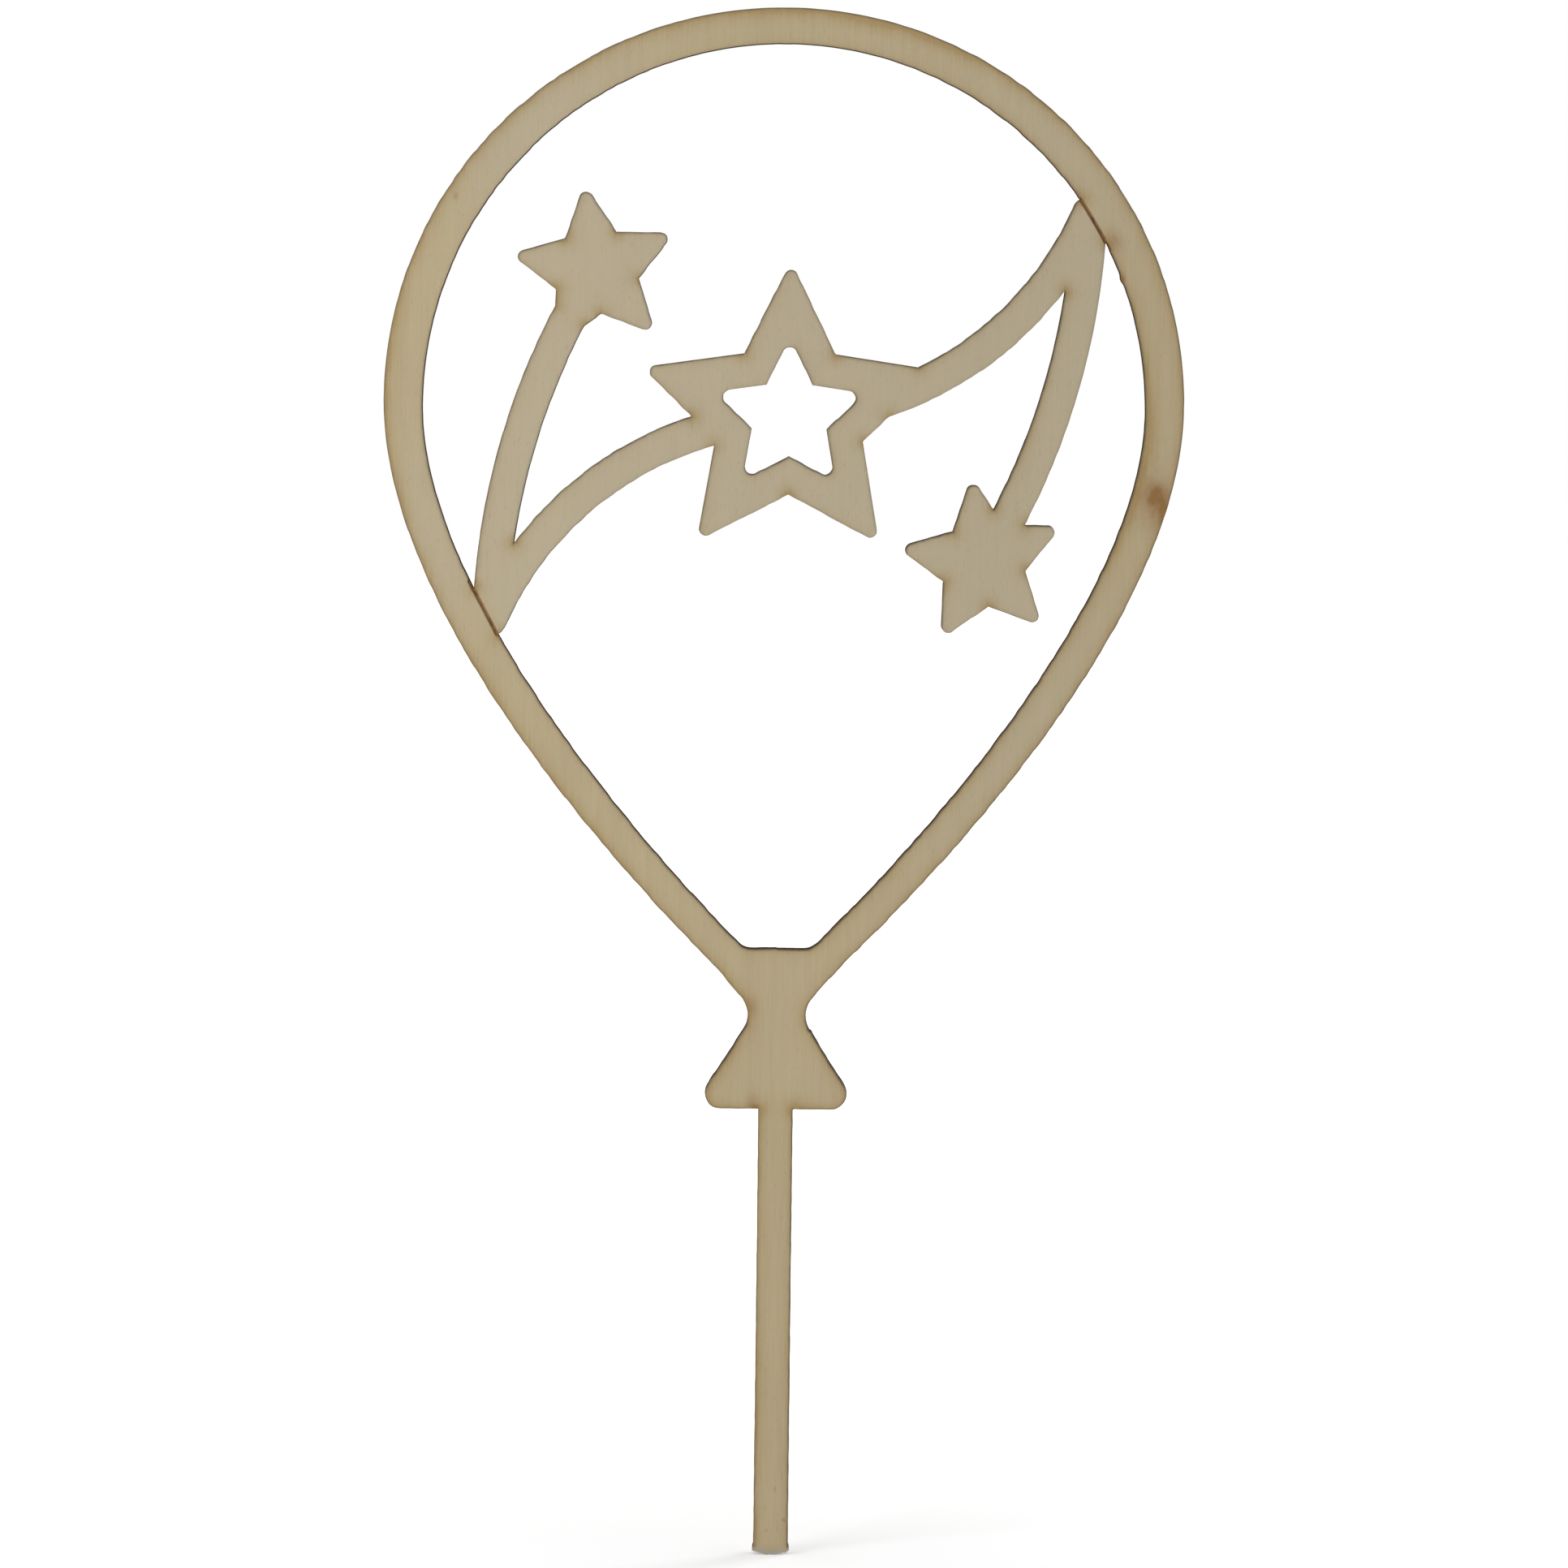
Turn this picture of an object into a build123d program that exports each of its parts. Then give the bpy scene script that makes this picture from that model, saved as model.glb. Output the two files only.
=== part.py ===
"""Balloon cake topper, laser-cut from one sheet of three-ply plywood.

The sheet stands in the XZ plane with its front towards -Y. The origin is on the stick's axis,
halfway through the sheet, at the level of the knot's underside, where the stick enters the cake.
All lengths are in millimetres and all angles in degrees.
"""

from build123d import *
import math
import os

# Sheet
sheet_thickness = 3.0
face_veneer_thickness = 0.7
glue_thickness = 0.1

# Balloon, outer edge
balloon_width = 100.0
widest_height = 88.4
crown_height = 49.3
flank_pull = 22.9
taper_pull = 27.8
taper_angle = 45.2
taper_end_half_width = 8.15
taper_end_height = 18.15

# Ring, inner edge
side_band = 4.86
crown_band = 4.53
inner_widest_drop = 0.7
inner_flank_pull = 20.8
inner_taper_pull = 22.0
inner_taper_angle = 44.4
inner_taper_straight = 4.0
floor_height = 20.15
floor_half_width = 4.25
floor_corner_radius = 2.6

# Waist, knot and stick
waist_corner_half_width = 2.76
waist_height = 12.1
waist_radius = 3.65
knot_corner_half_width = 10.56
knot_corner_radius = 1.95
stick_width = 4.4
stick_length = 56.2

# Streamers, tied into the ring at two anchors
upper_anchor_angle = 33.0
lower_anchor_share = 0.37
streamer_width = 4.4
streamer_bulge = 6.5
tail_bulge = 3.0

# Stars
star_points = 5
star_waist_share = 0.5
large_star_radius = 19.5
large_star_line = 4.3
small_star_radius = 11.0
small_star_offset_x = 24.4
small_star_offset_z = 18.0
small_star_turn = 8.0
star_tip_radius = 0.9

# Scored line across each anchor
score_width = 0.4
score_depth = 0.35
cut_overrun = 1.0

# Values worked out from the sizes above
half_width = balloon_width / 2
inner_half_width = half_width - side_band
inner_widest_height = widest_height - inner_widest_drop
inner_crown_height = widest_height + crown_height - crown_band - inner_widest_height
core_thickness = sheet_thickness - 2 * (face_veneer_thickness + glue_thickness)


def along(point, angle, distance):
    """Return the point at a distance from another, at an angle measured from +Z towards +X."""
    turn = math.radians(angle)
    return (point[0] + distance * math.sin(turn), point[1] + distance * math.cos(turn))


def flank(side, top, top_pull, end, end_angle, end_pull):
    """Return the curve down one side of the balloon, upright at its top and slanted at its end."""
    start = (top[0], top[1] - top_pull)
    finish = along(end, end_angle, end_pull)
    return Bezier(*[(side * x, z) for x, z in (top, start, finish, end)])


def rounded(outline, corners, radius):
    """Return the outline with the vertices nearest to the given corners rounded."""
    for corner in corners:
        outline = fillet(outline.vertices().sort_by_distance(corner)[0], radius)
    return outline


def both_sides(x, z):
    """Return a point and its mirror image across the stick's axis."""
    return [(x, z), (-x, z)]


def silhouette():
    """Return the filled outline of balloon, waist, knot and stick."""
    widest = (half_width, widest_height)
    taper_end = (taper_end_half_width, taper_end_height)
    crown = EllipticalCenterArc((0, widest_height), half_width, crown_height, arc_size=180)
    edges = [crown]
    for side in (1, -1):
        edges.append(flank(side, widest, flank_pull, taper_end, taper_angle, taper_pull))
        edges.append(
            Polyline(
                (side * taper_end_half_width, taper_end_height),
                (side * waist_corner_half_width, waist_height),
                (side * knot_corner_half_width, 0),
                (side * stick_width / 2, 0),
                (side * stick_width / 2, -stick_length),
            )
        )
    edges.append(Line(*both_sides(stick_width / 2, -stick_length)))
    outline = make_face(Wire.combine([edge for shape in edges for edge in shape.edges()])[0])
    outline = rounded(outline, both_sides(waist_corner_half_width, waist_height), waist_radius)
    return rounded(outline, both_sides(knot_corner_half_width, 0), knot_corner_radius)


def inner_flank(side):
    """Return the curved part of the ring's inner edge on one side, from its widest point down."""
    floor_corner = (floor_half_width, floor_height)
    end = along(floor_corner, inner_taper_angle, inner_taper_straight)
    widest = (inner_half_width, inner_widest_height)
    return flank(side, widest, inner_flank_pull, end, inner_taper_angle, inner_taper_pull)


def ring_opening():
    """Return the filled outline of the opening inside the ring."""
    crown = EllipticalCenterArc(
        (0, inner_widest_height), inner_half_width, inner_crown_height, arc_size=180
    )
    right, left = inner_flank(1), inner_flank(-1)
    floor = Polyline(right @ 1, *both_sides(floor_half_width, floor_height), left @ 1)
    edges = [crown, right, left, *floor.edges()]
    opening = make_face(Wire.combine(edges)[0])
    return rounded(opening, both_sides(floor_half_width, floor_height), floor_corner_radius)


def anchors():
    """Return the two points of the ring's inner edge where the streamers are tied in."""
    turn = math.radians(upper_anchor_angle)
    upper = Vector(
        inner_half_width * math.cos(turn),
        inner_widest_height + inner_crown_height * math.sin(turn),
    )
    return upper, inner_flank(-1) @ lower_anchor_share


def star(center, radius, turn):
    """Return a star with rounded tips, one of them pointing up before it is turned."""
    step = 180 / star_points
    spots = []
    for index in range(2 * star_points):
        reach = radius if index % 2 == 0 else radius * star_waist_share
        spots.append(along((center.X, center.Y), turn + index * step, reach))
    outline = make_face(Polyline(*spots, close=True))
    return rounded(outline, spots[::2], star_tip_radius)


def star_hole_radius():
    """Return the tip radius of the hole that leaves the large star an even line."""
    half_step = math.radians(180 / star_points)
    edge_share = math.sqrt(
        1 + star_waist_share**2 - 2 * star_waist_share * math.cos(half_step)
    )
    edge_distance = large_star_radius * star_waist_share * math.sin(half_step) / edge_share
    return large_star_radius * (1 - large_star_line / edge_distance)


def ornament():
    """Return the streamers with an open star in the middle and a small star on each tail."""
    upper, lower = anchors()
    middle = (upper + lower) / 2
    to_small_star = Vector(-small_star_offset_x, small_star_offset_z)
    shape = star(middle, large_star_radius, 0)
    for anchor, small_star in ((lower, middle + to_small_star), (upper, middle - to_small_star)):
        shape += SlotArc(SagittaArc(anchor, middle, streamer_bulge), streamer_width)
        shape += SlotArc(SagittaArc(anchor, small_star, tail_bulge), streamer_width)
        shape += star(small_star, small_star_radius, -small_star_turn)
    return shape - star(middle, star_hole_radius(), 0)


def layer(profile, back_depth, thickness):
    """Return one layer of the sheet, from a depth measured forward of the back face."""
    plane = Plane.XZ.offset(back_depth - sheet_thickness / 2)
    return extrude(plane * profile, amount=thickness)


def scored_lines():
    """Return the narrow slots along the ring's inner edge where it crosses a streamer's end."""
    inner_edges = ring_opening().edges()
    crossings = [edge & ornament().face() for edge in inner_edges]
    paths = [path for crossing in crossings if crossing for path in crossing.edges()]
    arcs = [ThreePointArc(path @ 0, path @ 0.5, path @ 1) for path in paths]
    return [SlotArc(arc, score_width) for arc in arcs]


def sheet_layers():
    """Return the layers of the sheet by name, from the back to the front."""
    profile = silhouette() - ring_opening() + ornament()
    stack = [
        ("back_veneer", face_veneer_thickness),
        ("back_glue_line", glue_thickness),
        ("core_veneer", core_thickness),
        ("front_glue_line", glue_thickness),
        ("front_veneer", face_veneer_thickness),
    ]
    layers = {}
    depth = 0
    for name, thickness in stack:
        layers[name] = layer(profile, depth, thickness)
        depth += thickness
    score_floor = sheet_thickness - score_depth
    for line in scored_lines():
        layers["front_veneer"] -= layer(line, score_floor, score_depth + cut_overrun)
    return layers


os.makedirs("parts", exist_ok=True)
for name, solid in sheet_layers().items():
    solid.label = name
    export_step(solid, f"parts/{name}.step")
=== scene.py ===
"""Looks of a balloon cake topper, laser-cut from one sheet of three-ply plywood.

The sheet stands upright with its front towards -Y. Every packed layer is dressed with a fine mesh whose
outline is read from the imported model, so the outline's sizes are the frame's own. Lengths are in
millimetres, with x to the right, y to the back and z up, and meshes are written in metres.
"""

import logging
import math
from dataclasses import dataclass, field
from enum import Enum

import bpy
import numpy as np
from mathutils import Color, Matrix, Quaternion, Vector
from mathutils.geometry import delaunay_2d_cdt
from mathutils.kdtree import KDTree


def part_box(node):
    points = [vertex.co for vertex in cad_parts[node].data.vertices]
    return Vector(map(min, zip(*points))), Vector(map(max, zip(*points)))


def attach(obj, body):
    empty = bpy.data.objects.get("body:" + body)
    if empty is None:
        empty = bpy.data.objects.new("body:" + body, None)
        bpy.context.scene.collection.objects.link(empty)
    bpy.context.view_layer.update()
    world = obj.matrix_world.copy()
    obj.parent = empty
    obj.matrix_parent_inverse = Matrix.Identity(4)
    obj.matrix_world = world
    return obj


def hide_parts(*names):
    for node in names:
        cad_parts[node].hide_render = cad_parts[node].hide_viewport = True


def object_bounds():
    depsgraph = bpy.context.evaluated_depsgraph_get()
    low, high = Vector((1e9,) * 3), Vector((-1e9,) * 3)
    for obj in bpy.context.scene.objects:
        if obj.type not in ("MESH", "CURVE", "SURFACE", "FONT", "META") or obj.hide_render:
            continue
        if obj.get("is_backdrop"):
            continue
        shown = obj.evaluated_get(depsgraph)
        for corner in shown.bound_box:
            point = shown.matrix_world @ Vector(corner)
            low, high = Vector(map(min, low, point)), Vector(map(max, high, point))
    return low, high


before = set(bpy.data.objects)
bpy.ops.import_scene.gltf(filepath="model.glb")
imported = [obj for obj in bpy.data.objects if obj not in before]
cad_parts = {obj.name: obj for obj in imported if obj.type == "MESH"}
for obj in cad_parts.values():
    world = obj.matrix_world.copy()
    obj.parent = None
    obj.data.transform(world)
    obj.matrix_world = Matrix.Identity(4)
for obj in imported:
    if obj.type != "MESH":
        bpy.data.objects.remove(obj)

MM = 0.001
TINY = 1e-12
MERGE_DIGITS = 4
BODY = "root"
LOG = logging.getLogger("topper")

# Positions of the colour sockets on Blender's mix node
MIX_FIRST = 6
MIX_SECOND = 7
MIX_RESULT = 2

Colour = tuple[int, int, int]
Place = tuple[float, float]
Triple = tuple[float, float, float]
Socket = bpy.types.NodeSocket
Source = Socket | float | int | bool | tuple | Vector


class Grain(Enum):
    """Ways that the grain of a layer can run, as the axis that it follows."""

    UPRIGHT = "Z"
    CROSS = "X"


class NickShape(Enum):
    """Forms that a flaw in a cut edge can take."""

    BURR = "burr"
    STEP = "step"


def linear(colour: Colour) -> tuple[float, float, float, float]:
    """Return a display colour, from 0 to 255, as the linear colour that a shader takes."""
    return (*Color([part / 255 for part in colour]).from_srgb_to_scene_linear(), 1.0)


def unit(rows: np.ndarray) -> np.ndarray:
    """Return rows of vectors scaled to length one."""
    return rows / np.maximum(np.linalg.norm(rows, axis=1, keepdims=True), TINY)


def dots(first: np.ndarray, second: np.ndarray) -> np.ndarray:
    """Return the dot product of each pair of rows."""
    return np.einsum("ij,ij->i", first, second)


def fade(distance: np.ndarray, reach: float) -> np.ndarray:
    """Return a smooth weight that is one at no distance and falls away past a reach."""
    return np.exp(-((distance / reach) ** 2))


def smooth(share: np.ndarray) -> np.ndarray:
    """Return a share from 0 to 1 that sets in and ends gently."""
    return share**2 * (3 - 2 * share)


def new_piece(name: str, data: bpy.types.ID) -> bpy.types.Object:
    """Put a mesh, lamp or camera into the scene.

    Args:
        name: what the object is called.
        data: what it shows.

    Returns:
        The new object.
    """
    piece = bpy.data.objects.new(name, data)
    bpy.context.scene.collection.objects.link(piece)
    return piece


def packed_triangles(node: str) -> tuple[np.ndarray, np.ndarray]:
    """Read a packed layer's mesh with its doubled corners merged.

    Args:
        node: name of the layer.

    Returns:
        The corners in millimetres, and the three corner numbers of each triangle.
    """
    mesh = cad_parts[node].data
    mesh.calc_loop_triangles()
    spots = np.empty(3 * len(mesh.vertices))
    mesh.vertices.foreach_get("co", spots)
    spots = (spots.reshape(-1, 3) / MM).round(MERGE_DIGITS)
    places, merged = np.unique(spots, axis=0, return_inverse=True)
    corners = np.empty(3 * len(mesh.loop_triangles), np.int32)
    mesh.loop_triangles.foreach_get("vertices", corners)
    return places, merged.ravel()[corners].reshape(-1, 3)


class Graph:
    """Adds nodes to a node tree and links them."""

    def __init__(self, tree: bpy.types.NodeTree) -> None:
        """Take a tree and empty it."""
        self.tree = tree
        tree.nodes.clear()

    def add(
        self, kind: str, sources: dict[str | int, Source] | None = None, **settings: object
    ) -> bpy.types.Node:
        """Add one node.

        Args:
            kind: Blender's name for the type of node.
            sources: value or socket for each input, by name or position.
            settings: properties of the node itself.

        Returns:
            The new node.
        """
        node = self.tree.nodes.new(kind)
        for name, value in settings.items():
            setattr(node, name, value)
        for key, source in (sources or {}).items():
            if isinstance(source, Socket):
                self.tree.links.new(source, node.inputs[key])
            else:
                node.inputs[key].default_value = source
        return node

    def out(
        self, kind: str, sources: dict[str | int, Source] | None = None, **settings: object
    ) -> Socket:
        """Add one node, as add does, and return its first output."""
        return self.add(kind, sources, **settings).outputs[0]

    def math(self, operation: str, *numbers: Source) -> Socket:
        """Return the result of a sum of one, two or three numbers."""
        return self.out("ShaderNodeMath", dict(enumerate(numbers)), operation=operation)

    def weigh(self, values: list[Source], weights: tuple[float, ...]) -> Socket:
        """Add up numbers, each times its own weight.

        Args:
            values: the numbers.
            weights: weight of each.

        Returns:
            Their weighted sum.
        """
        total = 0.0
        for value, weight in zip(values, weights):
            total = self.math("MULTIPLY_ADD", value, weight, total)
        return total

    def span(self, value: Source, ends: Place, shares: Place) -> Socket:
        """Carry a value smoothly from one range to another.

        Args:
            value: number to carry over.
            ends: where the first range starts and ends.
            shares: what its start and its end become.

        Returns:
            The number in the second range, held at its ends.
        """
        sources = dict(enumerate((value, *ends, *shares)))
        return self.out("ShaderNodeMapRange", sources, interpolation_type="SMOOTHSTEP")

    def stretch(self, vector: Source, factors: Triple) -> Socket:
        """Return a vector with each axis multiplied by its own factor."""
        return self.out("ShaderNodeVectorMath", {0: vector, 1: factors}, operation="MULTIPLY")

    def scale(self, vector: Source, factor: Source) -> Socket:
        """Return a vector times a number."""
        return self.out("ShaderNodeVectorMath", {0: vector, "Scale": factor}, operation="SCALE")


class GeometryGraph(Graph):
    """Geometry node tree with named inputs."""

    def __init__(self, name: str, kinds: dict[str, str]) -> None:
        """Start a tree that takes and gives a geometry.

        Args:
            name: what the tree is called.
            kinds: kind of each further input by its name.
        """
        super().__init__(bpy.data.node_groups.new(name, "GeometryNodeTree"))
        sockets = self.tree.interface
        self.names = {
            key: sockets.new_socket(key, in_out="INPUT", socket_type="NodeSocket" + kind).identifier
            for key, kind in {"Geometry": "Geometry", **kinds}.items()
        }
        sockets.new_socket("Geometry", in_out="OUTPUT", socket_type="NodeSocketGeometry")
        self.given = self.add("NodeGroupInput").outputs

    def stored(self, name: str, kind: str) -> Socket:
        """Return a value that is stored on the mesh."""
        return self.out("GeometryNodeInputNamedAttribute", {"Name": name}, data_type=kind)

    def dress(self, geometry: Socket, material: str, **chosen: Source) -> Socket:
        """Return a geometry whose chosen faces have the material of a named input."""
        sources = {"Geometry": geometry, "Material": self.given[material], **chosen}
        return self.out("GeometryNodeSetMaterial", sources)

    def run(self, piece: bpy.types.Object, values: dict[str, object]) -> None:
        """Run the tree on a piece and keep the result as its plain mesh.

        Args:
            piece: object to change.
            values: value of each named input.
        """
        modifier = piece.modifiers.new(self.tree.name, "NODES")
        modifier.node_group = self.tree
        for name, value in values.items():
            modifier[self.names[name]] = value
        evaluated = piece.evaluated_get(bpy.context.evaluated_depsgraph_get())
        mesh = bpy.data.meshes.new_from_object(evaluated)
        piece.modifiers.clear()
        spent = piece.data
        piece.data = mesh
        bpy.data.meshes.remove(spent)
        mesh.name = piece.name


@dataclass(frozen=True)
class Pattern:
    """Cloudy pattern of a material.

    Attributes:
        scale: features for each millimetre along x, y and z.
        detail: how many finer levels it has.
        ends: the two values of it between which it is carried over to shares.
        shares: what those two values become.
        roughness: how strong the finer levels are.
    """

    scale: Triple
    detail: float = 2.0
    ends: Place = (0.25, 0.75)
    shares: Place = (0.0, 1.0)
    roughness: float = 0.5


@dataclass(frozen=True)
class Finish:
    """Surface of a material, before its colours.

    Attributes:
        name: what the material is called.
        roughness: how dull the surface is, from 0 to 1.
        sheen: how much it mirrors, where 0.5 is usual.
        relief: height of its fine unevenness.
    """

    name: str
    roughness: float
    sheen: float
    relief: float


class Shader(Graph):
    """Node tree of one surface material."""

    def __init__(self, finish: Finish) -> None:
        """Start a material with the surface of a finish.

        Args:
            finish: name and surface of the material.
        """
        self.material = bpy.data.materials.new(finish.name)
        self.material.use_nodes = True
        super().__init__(self.material.node_tree)
        surface = {"Roughness": finish.roughness, "Specular IOR Level": finish.sheen}
        self.surface = self.add("ShaderNodeBsdfPrincipled", surface)
        self.add("ShaderNodeOutputMaterial", {"Surface": self.surface.outputs[0]})
        self.coordinates = self.add("ShaderNodeTexCoord").outputs
        self.place = self.stretch(self.coordinates["Object"], (1 / MM, 1 / MM, 1 / MM))
        self.relief = finish.relief * MM

    def attribute(self, name: str) -> Socket:
        """Return a number that is stored on the mesh."""
        return self.add("ShaderNodeAttribute", attribute_name=name).outputs["Fac"]

    def noise(self, pattern: Pattern) -> Socket:
        """Add a pattern.

        Args:
            pattern: its sizes.

        Returns:
            A cloudy number about one half.
        """
        sources = {"Vector": self.stretch(self.place, pattern.scale), "Scale": 1.0}
        sources |= {"Detail": pattern.detail, "Roughness": pattern.roughness}
        return self.out("ShaderNodeTexNoise", sources)

    def share(self, pattern: Pattern) -> Socket:
        """Return a pattern carried over to its shares."""
        return self.span(self.noise(pattern), pattern.ends, pattern.shares)

    def mix(self, share: Source, first: Source, second: Source) -> Socket:
        """Return the first colour carried towards the second by a share."""
        sources = {0: share, MIX_FIRST: first, MIX_SECOND: second}
        return self.add("ShaderNodeMix", sources, data_type="RGBA").outputs[MIX_RESULT]

    def tint(self, colour: Source, share: Source, target: Colour) -> Socket:
        """Return a colour carried towards a display colour by a share."""
        return self.mix(share, colour, linear(target))

    def ramp(self, value: Source, stops: dict[float, Colour]) -> Socket:
        """Pick a colour by a value.

        Args:
            value: number from 0 to 1.
            stops: colour at each number.

        Returns:
            The colour between the two nearest stops.
        """
        node = self.add("ShaderNodeValToRGB", {0: value})
        while len(node.color_ramp.elements) < len(stops):
            node.color_ramp.elements.new(1.0)
        for element, (position, colour) in zip(node.color_ramp.elements, stops.items()):
            element.position = position
            element.color = linear(colour)
        return node.outputs[0]

    def complete(self, colour: Socket, height: Socket) -> bpy.types.Material:
        """Join the colour and a bump to the surface.

        Args:
            colour: base colour of the surface.
            height: number from 0 to 1 that the surface rises with.

        Returns:
            The finished material.
        """
        bump = self.out("ShaderNodeBump", {"Strength": 1.0, "Distance": self.relief, "Height": height})
        self.tree.links.new(colour, self.surface.inputs["Base Color"])
        self.tree.links.new(bump, self.surface.inputs["Normal"])
        return self.material


@dataclass(frozen=True)
class VeneerFinish(Finish):
    """Raw sanded face veneer with fine upright grain, browned by the beam near its edges.

    Attributes:
        dark: colour of the darkest grain.
        light: colour of the palest grain.
        streaks: fine grain, and how much less smoke its pale streaks take.
        bands: wider bands of grain.
        clouds: wide clouds of tone.
        tone_weights: weights of streaks, bands and clouds.
        blush: colour of the warmer bands.
        warmth: where those are.
        pale: colour of the wide greyer patches.
        pore: colour of the short open pores.
        pores: where those are.
        pore_most: how strongly they show.
        halo: golden colour that smoke gives to the wood near the edges.
        halo_reach: distance from the edge in which the golden tint fades by two thirds.
        halo_most: largest share of the golden tint.
        uneven: how unevenly it lies.
        burn: colour of the narrow burnt line at the very edge.
        burn_flat: width of the burnt line before it fades.
        burn_reach: distance in which it then fades by two thirds.
        patchy: how unevenly it is burnt.
        stain: colour of the deepest stains.
        stain_most: largest share of that colour.
        ragged: how uneven the stains are.
        score: colour at the bottom of a scored line.
        score_dark: colour where the scored line is charred.
        runs: where it is charred.
        torn: colour of the torn fibres at the stick's end.
        torn_most: largest share of that colour.
    """

    name: str = "birch_face"
    roughness: float = 0.8
    sheen: float = 0.25
    relief: float = 0.012
    dark: Colour = (164, 149, 116)
    light: Colour = (189, 174, 141)
    streaks: Pattern = Pattern((5.5, 1.0, 0.17), 3.0, (0.3, 0.7), (1.2, 0.8))
    bands: Pattern = Pattern((0.9, 1.0, 0.035))
    clouds: Pattern = Pattern((0.1, 1.0, 0.06))
    tone_weights: Triple = (0.42, 0.3, 0.28)
    blush: Colour = (179, 159, 133)
    warmth: Pattern = Pattern((0.5, 1.0, 0.08), ends=(0.4, 0.7), shares=(0.0, 0.2))
    pale: Colour = (179, 169, 148)
    pore: Colour = (148, 131, 99)
    pores: Pattern = Pattern((8.0, 1.0, 0.9), 1.0, (0.66, 0.8))
    pore_most: float = 0.32
    halo: Colour = (154, 124, 67)
    halo_reach: float = 0.66
    halo_most: float = 0.62
    uneven: Pattern = Pattern((0.3, 0.3, 0.2), 3.0, shares=(0.7, 1.3))
    burn: Colour = (93, 84, 63)
    burn_flat: float = 0.08
    burn_reach: float = 0.16
    patchy: Pattern = Pattern((0.8, 0.8, 0.6), shares=(0.8, 1.2))
    stain: Colour = (136, 99, 55)
    stain_most: float = 0.95
    ragged: Pattern = Pattern((1.3, 1.3, 0.9), 3.0, (0.2, 0.8), (0.75, 1.25))
    score: Colour = (142, 105, 64)
    score_dark: Colour = (108, 74, 46)
    runs: Pattern = Pattern((0.9, 0.9, 0.9), 3.0, (0.45, 0.7))
    torn: Colour = (161, 158, 150)
    torn_most: float = 0.9

    def material(self) -> bpy.types.Material:
        """Make the material of both faces of the sheet.

        Returns:
            The material.
        """
        shader = Shader(self)
        grain = [shader.noise(pattern) for pattern in (self.streaks, self.bands, self.clouds)]
        tone = shader.weigh(grain, self.tone_weights)
        colour = shader.mix(tone, linear(self.dark), linear(self.light))
        colour = shader.tint(colour, shader.share(self.warmth), self.blush)
        colour = shader.tint(colour, shader.attribute("pale"), self.pale)
        pores = shader.share(self.pores)
        colour = shader.tint(colour, shader.math("MULTIPLY", pores, self.pore_most), self.pore)
        colour = self.marked(shader, self.browned(shader, grain[0], colour))
        torn = shader.math("MULTIPLY", shader.attribute("torn"), self.torn_most)
        colour = shader.tint(colour, torn, self.torn)
        return shader.complete(colour, shader.math("SUBTRACT", grain[0], pores))

    def browned(self, shader: Shader, streaks: Socket, colour: Socket) -> Socket:
        """Brown the face towards its cut edges, unevenly as smoke does.

        Args:
            shader: tree to add to.
            streaks: fine grain, which smoke follows a little.
            colour: colour of the bare wood.

        Returns:
            The browned colour.
        """
        depth = shader.attribute("edge")
        follow = shader.span(streaks, self.streaks.ends, self.streaks.shares)
        level = shader.math("MULTIPLY", shader.attribute("scorch"), shader.share(self.uneven))
        level = shader.math("MULTIPLY", level, follow)
        halo = shader.math("EXPONENT", shader.math("DIVIDE", depth, -self.halo_reach))
        halo = shader.math("MINIMUM", shader.math("MULTIPLY", halo, level), self.halo_most)
        colour = shader.tint(colour, halo, self.halo)
        beyond = shader.math("MAXIMUM", shader.math("SUBTRACT", depth, self.burn_flat), 0.0)
        burn = shader.math("EXPONENT", shader.math("DIVIDE", beyond, -self.burn_reach))
        char = shader.math("MULTIPLY", shader.attribute("char"), shader.share(self.patchy))
        char = shader.math("SUBTRACT", char, shader.attribute("torn"))
        char = shader.math("MAXIMUM", shader.math("MINIMUM", char, 1.0), 0.0)
        return shader.tint(colour, shader.math("MULTIPLY", burn, char), self.burn)

    def marked(self, shader: Shader, colour: Socket) -> Socket:
        """Add the stains and the scored lines.

        Args:
            shader: tree to add to.
            colour: colour of the browned wood.

        Returns:
            The colour with its marks.
        """
        stain = shader.math("MULTIPLY", shader.attribute("stain"), shader.share(self.ragged))
        colour = shader.tint(colour, shader.math("MINIMUM", stain, self.stain_most), self.stain)
        floor = shader.mix(shader.share(self.runs), linear(self.score), linear(self.score_dark))
        return shader.mix(shader.attribute("score"), colour, floor)


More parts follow.
